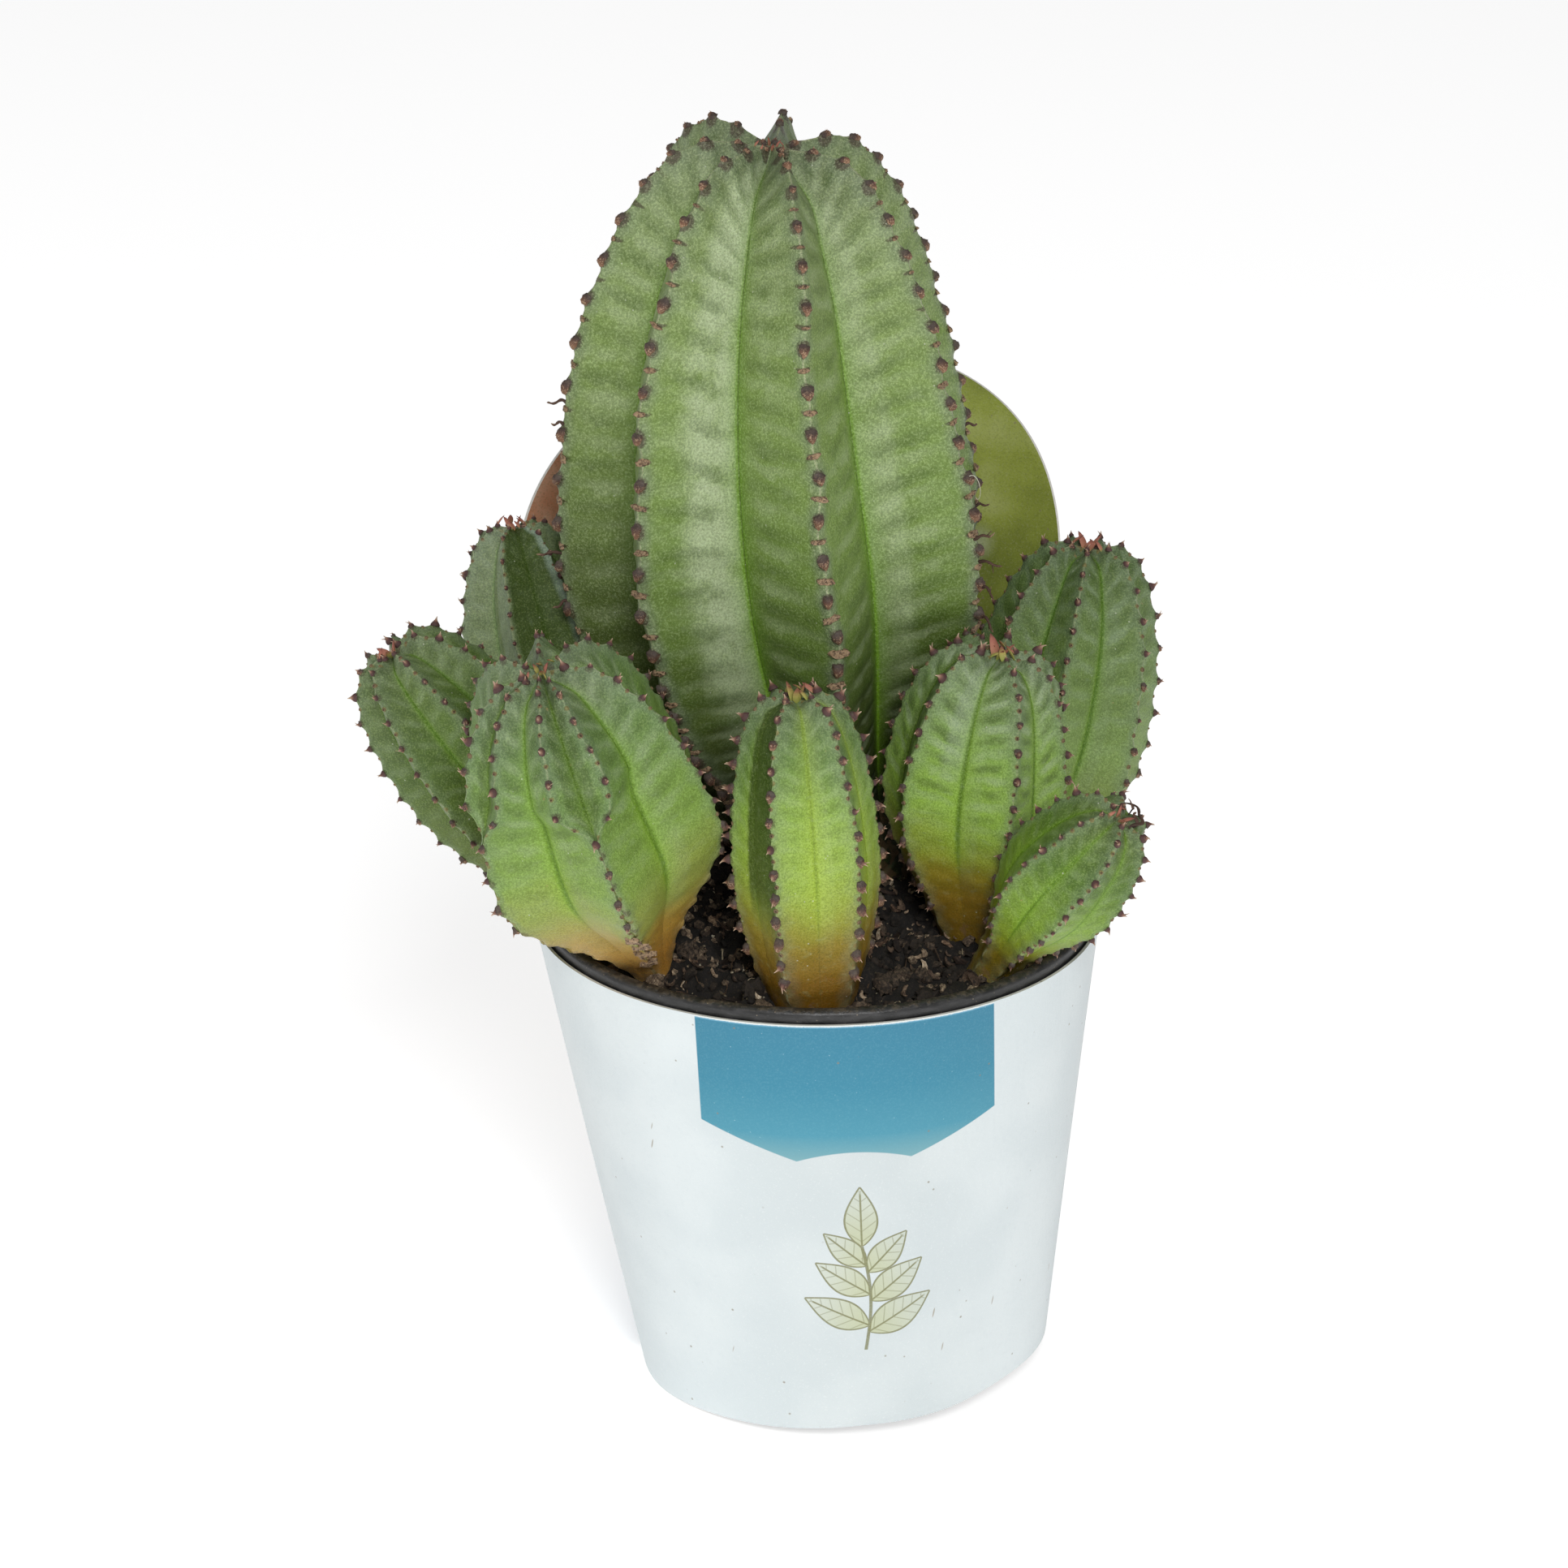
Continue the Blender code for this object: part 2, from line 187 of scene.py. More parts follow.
class Value:
    """A value that changes over a surface. Arithmetic on it adds Math nodes to its finish."""

    def __init__(self, finish, socket):
        self.finish, self.socket = finish, socket

    def math(self, operation, *others):
        return self.finish.node("Math", {"operation": operation}, self, *others)

    def __add__(self, other):
        return self.math("ADD", other)

    def __sub__(self, other):
        return self.math("SUBTRACT", other)

    def __rsub__(self, other):
        return self.finish.node("Math", {"operation": "SUBTRACT"}, other, self)

    def __mul__(self, other):
        return self.math("MULTIPLY", other)

    def __truediv__(self, other):
        return self.math("DIVIDE", other)

    def __pow__(self, other):
        return self.math("POWER", other)

    def __neg__(self):
        return self.math("MULTIPLY", -1.0)

    def __abs__(self):
        return self.math("ABSOLUTE")

    def __mod__(self, other):
        return self.math("FLOORED_MODULO", other)

    __radd__ = __add__
    __rmul__ = __mul__

    def rise(self, low, high):
        """0 below low and 1 above high, smoothly. It falls where high is the lower of the two."""
        return self.finish.node("MapRange", {"interpolation_type": "SMOOTHSTEP"}, self, low, high, 0.0, 1.0)

    def reaches(self, kind):
        """1 where a growth is of this kind or a later one, and 0 elsewhere."""
        return self.rise(kind - 0.7, kind - 0.6)

    def band(self, middle, half, soft):
        """1 within half of middle, fading to 0 over soft."""
        return abs(self - middle).rise(half + soft, half)

    def wave(self):
        """A sine between -1 and 1, one turn a unit."""
        return (self * (2 * pi)).math("SINE")

    def least(self, other):
        return self.math("MINIMUM", other)

    def most(self, other):
        return self.math("MAXIMUM", other)


class Finish:
    """A material being mixed."""

    def __init__(self, name, roughness=0.5):
        self.material = bpy.data.materials.new(name)
        self.material.use_nodes = True
        self.tree = self.material.node_tree
        self.shader = self.tree.nodes["Principled BSDF"]
        self.shader.inputs["Roughness"].default_value = roughness

    def node(self, kind, settings, *inputs, output=0, **named):
        """The output of a new node. Its settings come first, then its inputs, by place or by name."""
        node = self.tree.nodes.new("ShaderNode" + kind)
        for key, setting in settings.items():
            if key == "stops":
                while len(node.color_ramp.elements) < len(setting):
                    node.color_ramp.elements.new(0.5)
                for element, (place, color) in zip(node.color_ramp.elements, setting):
                    element.position, element.color = place, (*color, 1.0)
            else:
                setattr(node, key, setting)
        pairs = [*zip(node.inputs, inputs), *((node.inputs[key], given) for key, given in named.items())]
        for socket, given in pairs:
            if isinstance(given, Value):
                self.tree.links.new(given.socket, socket)
            elif given is not None:
                color = socket.type == "RGBA" and len(given) == 3
                socket.default_value = (*given, 1.0) if color else given
        return Value(self, node.outputs[output])

    def mix(self, share, first, second, blend="MIX"):
        """A colour between two, or the second laid over the first."""
        settings = {"data_type": "RGBA", "blend_type": blend, "clamp_factor": True}
        return self.node("Mix", settings, share, None, None, None, None, None, first, second, output=2)

    def cover(self, color, *layers):
        """The colour under layers, each a share and a colour, laid on in their order."""
        for share, layer in layers:
            color = self.mix(share, color, layer)
        return color

    def ramp(self, share, *stops):
        """A colour that changes with share, through stops of a share and a colour."""
        return self.node("ValToRGB", {"stops": stops}, share)

    def noise(self, scale, detail=2.0, place=None, rough=0.5, stretch=None):
        """Noise about 0.5. The scale is turns a millimetre."""
        place = place or self.place()
        if stretch:
            place = self.node("VectorMath", {"operation": "MULTIPLY"}, place, stretch)
        return self.node("TexNoise", {}, Vector=place, Scale=scale, Detail=detail, Roughness=rough)

    def cells(self, scale, place=None):
        """Distance from the nearest of many scattered points. The scale is points a millimetre."""
        return self.node("TexVoronoi", {}, Vector=place or self.place(), Scale=scale)

    def place(self):
        """The point on the surface, in millimetres."""
        if not hasattr(self, "_place"):
            point = self.node("TexCoord", {}, output=3)
            self._place = self.node("VectorMath", {"operation": "SCALE"}, point, Scale=1 / MM)
        return self._place

    def parts(self, vector):
        """The three numbers of a vector."""
        return [Value(self, output) for output in self.node("SeparateXYZ", {}, vector).socket.node.outputs]

    def written(self, name):
        """The three numbers that the mesh carries under a name."""
        return self.parts(self.node("Attribute", {"attribute_name": name}, output=1))

    def at(self, *numbers):
        """A vector of three numbers."""
        return self.node("CombineXYZ", {}, *numbers)

    def link(self, **sockets):
        """Feeds values to the shader's sockets, named with _ for a space."""
        for name, value in sockets.items():
            self.tree.links.new(value.socket, self.shader.inputs[name.replace("_", " ")])

    def settle(self, **sockets):
        """Sets plain numbers and colours of the shader, named with _ for a space."""
        for name, setting in sockets.items():
            self.shader.inputs[name.replace("_", " ")].default_value = setting

    def bump(self, height, depth):
        """Height is in shares of depth, and depth in millimetres."""
        self.link(Normal=self.node("Bump", {}, Height=height, Strength=1.0, Distance=depth * MM))


# Pieces


def new_piece(name, points, faces, finish, stands_for=(), notes=None, corner_notes=None, crease=60.0):
    """A piece on the one body, from points in millimetres. Notes are numbers its finish reads."""
    mesh = bpy.data.meshes.new(name)
    mesh.from_pydata((np.asarray(points) * MM).tolist(), [], faces)
    for domain, written in (("POINT", notes or {}), ("CORNER", corner_notes or {})):
        for key, numbers in written.items():
            attribute = mesh.attributes.new(key, "FLOAT_VECTOR", domain)
            attribute.data.foreach_set("vector", np.asarray(numbers, np.float32).reshape(-1))
    mesh.shade_smooth()
    mesh.set_sharp_from_angle(angle=radians(crease))
    mesh.materials.append(finish.material)
    piece = bpy.data.objects.new(name, mesh)
    bpy.context.scene.collection.objects.link(piece)
    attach(piece, "root")
    if stands_for:
        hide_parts(*stands_for)
    return piece


class Joined:
    """Many small growths or crumbs, gathered into one piece."""

    def __init__(self):
        self.points, self.faces, self.notes, self.count = [], [], [], 0

    def loft(self, rings, notes):
        """Closed tube through rings of points, with a note of three numbers for each point."""
        rings = np.asarray(rings, float)
        rows, sides, _ = rings.shape
        notes = np.broadcast_to(np.asarray(notes, float), rings.shape)
        ends = [rings[0].mean(0), rings[-1].mean(0)]
        self.points.append(np.concatenate([rings.reshape(-1, 3), ends]))
        self.notes.append(np.concatenate([notes.reshape(-1, 3), [notes[0].mean(0), notes[-1].mean(0)]]))
        start = self.count
        for row in range(rows - 1):
            low = start + row * sides
            for side in range(sides):
                after = (side + 1) % sides
                self.faces.append((low + side, low + after, low + sides + after, low + sides + side))
        foot, head, top = start + rows * sides, start + rows * sides + 1, start + (rows - 1) * sides
        for side in range(sides):
            after = (side + 1) % sides
            self.faces.append((foot, start + after, start + side))
            self.faces.append((head, top + side, top + after))
        self.count += rows * sides + 2

    def tube(self, path, radii, kind, own, sides=6, flat=1.0, face=(0.31, 0.87, 0.38)):
        """A tube along a path. Flat squeezes it across face, a direction it lies square to.

        Its notes are the share of its length, its kind and a number of its own.
        """
        path, radii = np.asarray(path, float), np.broadcast_to(radii, len(path))
        along = np.gradient(path, axis=0)
        along /= np.linalg.norm(along, axis=1, keepdims=True)
        across = np.cross(along, np.asarray(face, float))
        across /= np.maximum(np.linalg.norm(across, axis=1, keepdims=True), 1e-6)
        out = np.cross(across, along)
        turn = np.arange(sides) * 2 * pi / sides
        rings = path[:, None] + radii[:, None, None] * (
            np.cos(turn)[None, :, None] * across[:, None] + flat * np.sin(turn)[None, :, None] * out[:, None]
        )
        share = np.linspace(0, 1, len(path))
        written = np.empty(rings.shape)
        written[..., 0], written[..., 1], written[..., 2] = share[:, None], kind, own
        self.loft(rings, written)

    def finish(self, name, finish, slot, crease=60.0):
        """Makes the piece."""
        notes = {"growth": np.concatenate(self.notes)}
        points = np.concatenate(self.points)
        return new_piece(name, points, self.faces, finish, notes=notes, crease=crease)


# Growth of a stem, as numpy arrays, in millimetres


def smooth(value):
    """0 below 0 and 1 above 1, with an even curve between."""
    value = np.clip(value, 0.0, 1.0)
    return value * value * (3 - 2 * value)


def mix_height(radius):
    """Height of the heaped mix at a distance from its middle, both in metres."""
    share = np.minimum(radius / POT_RIM_RADIUS, 1.0)
    return MIX_HEAP_HEIGHT + (MIX_EDGE_HEIGHT - MIX_HEAP_HEIGHT) * share * share


def crest_width(stem, along):
    """Width across the crests, as a share of the widest, at a share of the length."""
    low = np.sin(pi / 2 * np.clip(along / stem.widest, 0, 1)) ** stem.swell
    fall = np.clip((along - stem.widest) / (1 - stem.widest), 0, 1) ** SHOULDER
    high = np.maximum(1 - fall, 0.0) ** (1 / stem.dome)
    return np.where(along < stem.widest, stem.neck + (1 - stem.neck) * low, high)


def unit(vectors):
    """The same directions, each of length 1."""
    return vectors / np.maximum(np.linalg.norm(vectors, axis=-1, keepdims=True), 1e-9)


class Growth:
    """Where the skin of one stem lies, and where its teeth stand."""

    def __init__(self, stem):
        self.stem = stem
        fine = 1 - (1 - np.linspace(0, 1, 6001)) ** 2
        centre = self.axis(fine)[0]
        reach = crest_width(stem, fine) * stem.radius
        steps = np.hypot(np.linalg.norm(np.diff(centre, axis=0), axis=1), np.diff(reach))
        self.fine, self.lengths = fine, np.concatenate([[0], np.cumsum(steps)])
        self.length = self.lengths[-1]
        shares = self.lengths / self.length
        self.pitches = np.interp(shares, np.linspace(0, 1, len(stem.pitch)), stem.pitch)
        self.counts = np.concatenate([[0], np.cumsum(steps / self.pitches[1:])])
        own = np.random.default_rng(int(stem.foot[0] * 10 + 500))
        self.starts = own.uniform(0, 1, len(stem.ribs) + 1)
        self.starts[-1] = self.starts[0]
        self.phases = own.uniform(0, 2 * pi, (2 * len(SWAYS), len(stem.ribs) + 1))
        self.phases[:, -1] = self.phases[:, 0]

    def axis(self, along):
        """The middle of the stem at a share of its length, and its directions sideways, backward and up."""
        stem = self.stem
        foot = np.array((*stem.foot, mix_height(hypot(*stem.foot) * MM) / MM - FOOT_DEPTH))
        tip, bow = np.array(stem.tip, float), np.array((*stem.bow, 0.0))
        along = np.asarray(along)[..., None]
        centre = foot + (tip - foot) * along + bow * 4 * along * (1 - along)
        up = unit(tip - foot + bow * 4 * (1 - 2 * along))
        side = unit(np.cross((0.0, 1.0, 0.0), up))
        return centre, side, np.cross(up, side), up

    def azimuths(self, along):
        """The crests' azimuths in degrees, the first repeated a full turn later: one column a crest."""
        stem = self.stem
        columns = [np.full(np.shape(along), float(rib)) for rib in stem.ribs]
        together = smooth((MERGE_START - along) / (MERGE_START - MERGE_END)) * (1 - MERGED)
        for pair in stem.merging:
            middle = sum(columns[rib] for rib in pair) / 2
            for rib in pair:
                columns[rib] = columns[rib] + (middle - columns[rib]) * together
        return np.stack([*columns, columns[0] + 360], -1)

    def along(self, length):
        """Share of the stem's length at a length over its crests."""
        return np.interp(length, self.lengths, self.fine)

    def pitch(self, length):
        """Spacing of the teeth there."""
        return np.interp(length, self.lengths, self.pitches)

    def count(self, length):
        """How many teeth a crest has from the foot up to a length."""
        return np.interp(length, self.lengths, self.counts)

    def start(self, rib, table=None):
        """A number of each crest's own, blended between two crests."""
        table = self.starts if table is None else table
        low = np.floor(rib).astype(int)
        share = smooth(rib - low)
        return table[low] * (1 - share) + table[low + 1] * share

    def skin(self, length, rib, relief=True):
        """Points of the skin. A whole number of ribs is a crest, and halfway between is a groove.

        Also returns the distance from the crest and the count of teeth, for the finish.
        """
        stem = self.stem
        ribs = len(stem.ribs)
        rib = np.mod(rib, ribs)
        length = np.clip(length, 0, self.length)
        along = self.along(length)
        azimuths = self.azimuths(along)
        low = np.minimum(np.floor(rib).astype(int), ribs - 1)
        share = rib - low
        first = np.take_along_axis(azimuths, low[..., None], -1)[..., 0]
        second = np.take_along_axis(azimuths, low[..., None] + 1, -1)[..., 0]
        spacing = second - first
        across = 1 - np.abs(2 * share - 1)  # 0 on a crest and 1 in a groove
        width = crest_width(stem, along)
        reach = stem.radius * width
        half = np.radians(spacing) / 2 * np.maximum(reach, 0.02)
        distance = across * half
        sway, swing = np.zeros(np.shape(rib)), np.zeros(np.shape(rib))
        for wave, (size, turn) in enumerate(SWAYS):
            phase, other = (self.start(rib, self.phases[row]) for row in (wave, wave + len(SWAYS)))
            sway = sway + size * np.sin(length * 2 * pi / turn + phase)
            swing = swing + size * np.sin(length * 2 * pi / (turn * 1.3) + other)
        thin = stem.radius / MAIN_RADIUS
        calm = smooth(width / 0.5)
        count = self.count(length) + self.start(rib)
        crest = np.exp(-((distance / (1.5 * stem.blunt + 0.5)) ** 2))
        zigzag = ZIGZAG * np.sin(count * pi) * crest * (1 if stem.tall else 0.4)
        aside = swing * 0.7 * calm * (1 - across) * (0.4 + 0.6 * thin) + zigzag * calm
        azimuth = np.radians(first + spacing * share) + aside / np.maximum(reach, 1.0)
        edge = stem.blunt / (np.radians(360 / ribs / 2) * stem.radius)
        rounded = (np.sqrt(across**2 + edge**2) - edge) / ((1 + edge * edge) ** 0.5 - edge)
        deepening = np.minimum(spacing * ribs / 360, WIDE_GROOVE)
        # Flanks between flat and evenly turned
        turn, bottom = np.radians(spacing) / 2, 1 - stem.groove * deepening
        chord = bottom * np.sin(turn) / (bottom * np.sin(turn * (1 - rounded)) + np.sin(turn * rounded))
        inward = FLATNESS * (1 - chord) / (1 - bottom) + (1 - FLATNESS) * rounded
        fading_in = smooth(along / (ROUND_FOOT if stem.tall else SLOW_FOOT * ROUND_FOOT))
        depth = stem.radius * stem.groove * deepening * fading_in * np.maximum(inward, 0)
        depth = depth * np.where(along > stem.widest, width**0.62, width)
        centre, side, back, up = self.axis(along)
        radial = np.cos(azimuth)[..., None] * side + np.sin(azimuth)[..., None] * back
        bend = pi / 2 * smooth((length - (self.length - 1.25 * stem.radius)) / (1.25 * stem.radius)) ** 1.2
        outward = np.cos(bend)[..., None] * radial + np.sin(bend)[..., None] * up
        hollow = CROWN * stem.radius * (1 - smooth(width / CROWN_REACH)) * (along > stem.widest)
        points = centre + radial * reach[..., None] - outward * depth[..., None] - up * hollow[..., None]
        if relief:
            pitch = self.pitch(length)
            nearest = (count - np.round(count)) * pitch
            halfway = (count - 0.5 - np.round(count - 0.5)) * pitch
            wide = 1.4 if stem.tall else 0.9
            beside = np.exp(-((distance / wide) ** 2))
            tooth = np.exp(-((nearest / TOOTH_REACH) ** 2)) * beside
            bead = np.exp(-((halfway / BEAD_REACH) ** 2)) * beside
            dip = (0.5 - 0.5 * np.cos(2 * pi * count)) * np.exp(-((distance / (2.2 * wide)) ** 2))
            tall = (0.7 if stem.tall else 0.6) * stem.tooth
            slant = count + across * (0.75 * smooth((along - 0.45) / 0.5) + 0.2)
            swells = np.sin(pi * np.clip(across * 1.1, 0, 1)) ** 0.8 * -(0.3 if stem.tall else 0.13)
            swells = swells * np.cos(2 * pi * slant)
            lumps = LUMPS * sway * thin * np.sin(pi * across)
            rise = (tall * tooth + BEAD_RISE * bead - CREST_DIP * dip) * smooth(width / 0.35)
            rise = (rise + (swells + lumps) * calm) * fading_in
            points = points + outward * rise[..., None]
        return points, distance, count

    def frame_at(self, length, rib):
        """Point on a crest, with its outward, sideways and upward directions."""
        length, rib = np.asarray(length, float), np.asarray(rib, float)
        here = self.skin(length, rib)[0]
        step, turn = 0.6, 0.02
        up = unit(self.skin(length + step, rib, False)[0] - self.skin(length - step, rib, False)[0])
        side = unit(self.skin(length, rib + turn, False)[0] - self.skin(length, rib - turn, False)[0])
        out = unit(np.cross(side, up))
        return here, out, np.cross(up, out), up

    def teeth(self, shift=0.0, lowest=6.0, highest=1.6):
        """(length, rib) of every tooth, or of what stands a share of the way to the next."""
        found = []
        for rib in range(len(self.stem.ribs)):
            first = int(np.ceil(self.starts[rib] + 0.0001))
            last = int(self.counts[-1] + self.starts[rib])
            for number in range(first, last + 1):
                count = number + shift - self.starts[rib]
                length = float(np.interp(count, self.counts, self.lengths))
                if not lowest < length < self.length - highest or count > self.counts[-1]:
                    continue
                along = float(self.along(length))
                if any(rib == pair[1] and along < MERGE_END + 0.03 for pair in self.stem.merging):
                    continue
                found.append((length, rib))
        return found


GROWTHS = {name: Growth(stem) for name, stem in STEMS.items()}


def columns_between(half, fine, fine_reach, groove, groove_reach, step):
    """Shares from crest to groove: closer together near both."""
    near = np.arange(0, fine_reach, fine)
    far = half - np.arange(0, groove_reach, groove)[::-1]
    count = max(int(round((far[0] - near[-1]) / step)), 2)
    middle = np.linspace(near[-1], far[0], count + 1)[1:-1]
    return np.concatenate([near, middle, far]) / half


def skin_piece(name, growth, finish):
    """The whole skin of a stem, from its buried foot to its growing point, as one closed mesh."""
    stem = growth.stem
    ribs = len(stem.ribs)
    half = radians(360 / ribs / 2) * stem.radius
    if stem.tall:
        shares, row_step = columns_between(half, 0.34, 2.2, 0.4, 1.3, 1.15), 0.66
    else:
        shares, row_step = columns_between(half, 0.3, 1.2, 0.4, 0.9, 0.8), 0.6
    rising, falling = shares / 2, 1 - shares[::-1] / 2
    one_rib = np.concatenate([rising, falling[1:-1]])
    ribs_at = np.concatenate([one_rib + rib for rib in range(ribs)])
    columns = len(ribs_at)
    rows = int(growth.length / row_step)
    lengths = np.linspace(0, growth.length - 0.25, rows)
    grid_length, grid_rib = np.meshgrid(lengths, ribs_at, indexing="ij")
    points, distance, count = growth.skin(grid_length, grid_rib)
    along = growth.along(grid_length)
    pole, foot = points[-1].mean(0), points[0].mean(0)
    all_points = np.concatenate([points.reshape(-1, 3), [foot, pole]])
    low = np.arange(rows - 1)[:, None] * columns + np.arange(columns)[None, :]
    beside = np.arange(rows - 1)[:, None] * columns + (np.arange(columns)[None, :] + 1) % columns
    quads = np.stack([low, beside, beside + columns, low + columns], -1).reshape(-1, 4)
    foot_at, pole_at = rows * columns, rows * columns + 1
    ring = np.arange(columns)
    after = (ring + 1) % columns
    top = (rows - 1) * columns
    faces = quads.tolist()
    faces += np.stack([np.full(columns, foot_at), after, ring], -1).tolist()
    faces += np.stack([top + ring, top + after, np.full(columns, pole_at)], -1).tolist()
    # Notes at face corners, so that the last rib can meet the first
    shown_rib = np.concatenate([grid_rib, np.full((rows, 1), float(ribs))], 1)

    def unrolled(grid):
        """The grid with its first column again after its last."""
        return np.concatenate([grid, grid[:, :1]], 1)

    first = np.stack([shown_rib, unrolled(grid_length), unrolled(count)], -1)
    second = np.stack([unrolled(distance), unrolled(along), unrolled(growth.pitch(grid_length))], -1)

    def at_corners(grid):
        """Its notes at the corners of the faces, in the order of the faces."""
        row, col = np.meshgrid(np.arange(rows - 1), np.arange(columns), indexing="ij")
        corners = [grid[row, col], grid[row, col + 1], grid[row + 1, col + 1], grid[row + 1, col]]
        corners = np.stack(corners, 2)
        foot_fan = np.stack([grid[0, :-1], grid[0, 1:], grid[0, :-1]], 1)
        pole_fan = np.stack([grid[-1, :-1], grid[-1, 1:], grid[-1, :-1]], 1)
        return np.concatenate([corners.reshape(-1, 3), foot_fan.reshape(-1, 3), pole_fan.reshape(-1, 3)])

    notes = {"growth": at_corners(first), "crest": at_corners(second)}
    node = name.removesuffix("_skin")
    return new_piece(name, all_points, faces, finish, (node,), corner_notes=notes, crease=48)


# Colours of the plant


class Look(NamedTuple):
    """Colours of one stem's skin from its foot up, as (share of length, colour) stops."""

    stops: tuple
    groove: tuple
    crest: tuple
    bloom: tuple
    glow: float = 0.3  # how far the groove colour spreads over the flanks
    bands: float = 0.8  # strength of the cross bands
    line: float = 0.6  # depth of the dark line down each groove


# The first of these colours is painted shade for the crease at the very bottom of each groove
CREASE_SHADE, BAND_GREEN, LINE_GREEN = (0.035, 0.052, 0.012), (0.055, 0.1, 0.016), (0.06, 0.14, 0.004)
LOOKS = {
    "main_stem": Look(
        (
            (0.0, (0.014, 0.016, 0.005)), (0.15, (0.02, 0.025, 0.006)), (0.3, (0.06, 0.088, 0.014)),
            (0.42, (0.125, 0.2, 0.034)), (0.56, (0.165, 0.26, 0.05)), (0.75, (0.185, 0.275, 0.066)),
            (0.93, (0.2, 0.27, 0.1)), (1.0, (0.16, 0.21, 0.09)),
        ),
        groove=(0.15, 0.31, 0.008), crest=(0.185, 0.22, 0.13), bloom=(0.42, 0.5, 0.3), bands=1.0, line=0.0,
    ),
    "offset_back_left": Look(
        (
            (0.0, (0.1, 0.08, 0.012)), (0.35, (0.15, 0.18, 0.04)), (0.7, (0.17, 0.23, 0.07)),
            (1.0, (0.16, 0.2, 0.09)),
        ),
        groove=(0.13, 0.25, 0.012), crest=(0.2, 0.26, 0.17), bloom=(0.34, 0.42, 0.28), bands=0.9, line=0.5,
    ),
    "offset_left": Look(
        (
            (0.0, (0.3, 0.17, 0.025)), (0.3, (0.2, 0.16, 0.04)), (0.46, (0.12, 0.18, 0.02)),
            (0.75, (0.08, 0.145, 0.014)), (1.0, (0.145, 0.2, 0.075)),
        ),
        groove=(0.16, 0.3, 0.012), crest=(0.15, 0.19, 0.1), bloom=(0.28, 0.36, 0.2), bands=1.1, line=0.7,
    ),
    "offset_front_left": Look(
        (
            (0.0, (0.5, 0.24, 0.04)), (0.16, (0.5, 0.24, 0.04)), (0.25, (0.43, 0.27, 0.045)),
            (0.35, (0.29, 0.31, 0.06)), (0.55, (0.2, 0.32, 0.055)), (0.75, (0.15, 0.26, 0.05)),
            (0.9, (0.125, 0.205, 0.065)), (1.0, (0.14, 0.195, 0.085)),
        ),
        groove=(0.24, 0.44, 0.015), crest=(0.18, 0.25, 0.14), bloom=(0.36, 0.44, 0.27), glow=0.4, bands=1.0,
        line=0.6,
    ),
    "offset_front_centre": Look(
        (
            (0.0, (0.17, 0.07, 0.004)), (0.2, (0.2, 0.1, 0.005)), (0.32, (0.24, 0.175, 0.012)),
            (0.42, (0.27, 0.3, 0.03)), (0.54, (0.29, 0.42, 0.055)), (0.7, (0.24, 0.38, 0.06)),
            (0.84, (0.13, 0.225, 0.048)), (0.93, (0.1, 0.165, 0.045)), (1.0, (0.14, 0.2, 0.08)),
        ),
        groove=(0.38, 0.52, 0.03), crest=(0.17, 0.25, 0.09), bloom=(0.44, 0.54, 0.3), glow=0.6, bands=0.6,
        line=0.3,
    ),
    "offset_front_right": Look(
        (
            (0.0, (0.17, 0.09, 0.007)), (0.24, (0.25, 0.15, 0.01)), (0.34, (0.29, 0.23, 0.016)),
            (0.43, (0.28, 0.33, 0.03)), (0.56, (0.27, 0.44, 0.055)), (0.74, (0.23, 0.38, 0.07)),
            (0.88, (0.17, 0.26, 0.085)), (1.0, (0.16, 0.22, 0.1)),
        ),
        groove=(0.24, 0.42, 0.015), crest=(0.17, 0.24, 0.1), bloom=(0.42, 0.51, 0.34), glow=0.5, bands=1.4,
        line=0.65,
    ),
    "offset_back_right": Look(
        (
            (0.0, (0.09, 0.06, 0.01)), (0.3, (0.15, 0.2, 0.04)), (0.5, (0.185, 0.28, 0.075)),
            (0.75, (0.135, 0.21, 0.055)), (1.0, (0.085, 0.135, 0.04)),
        ),
        groove=(0.15, 0.3, 0.01), crest=(0.13, 0.175, 0.1), bloom=(0.28, 0.36, 0.24), bands=1.1, line=0.8,
    ),
    "offset_front_right_small": Look(
        (
            (0.0, (0.2, 0.12, 0.008)), (0.26, (0.24, 0.17, 0.01)), (0.38, (0.24, 0.31, 0.02)),
            (0.55, (0.2, 0.33, 0.03)), (0.8, (0.085, 0.165, 0.018)), (1.0, (0.09, 0.14, 0.03)),
        ),
        groove=(0.2, 0.38, 0.01), crest=(0.15, 0.22, 0.09), bloom=(0.28, 0.38, 0.18), glow=0.4, line=0.5,
    ),
}
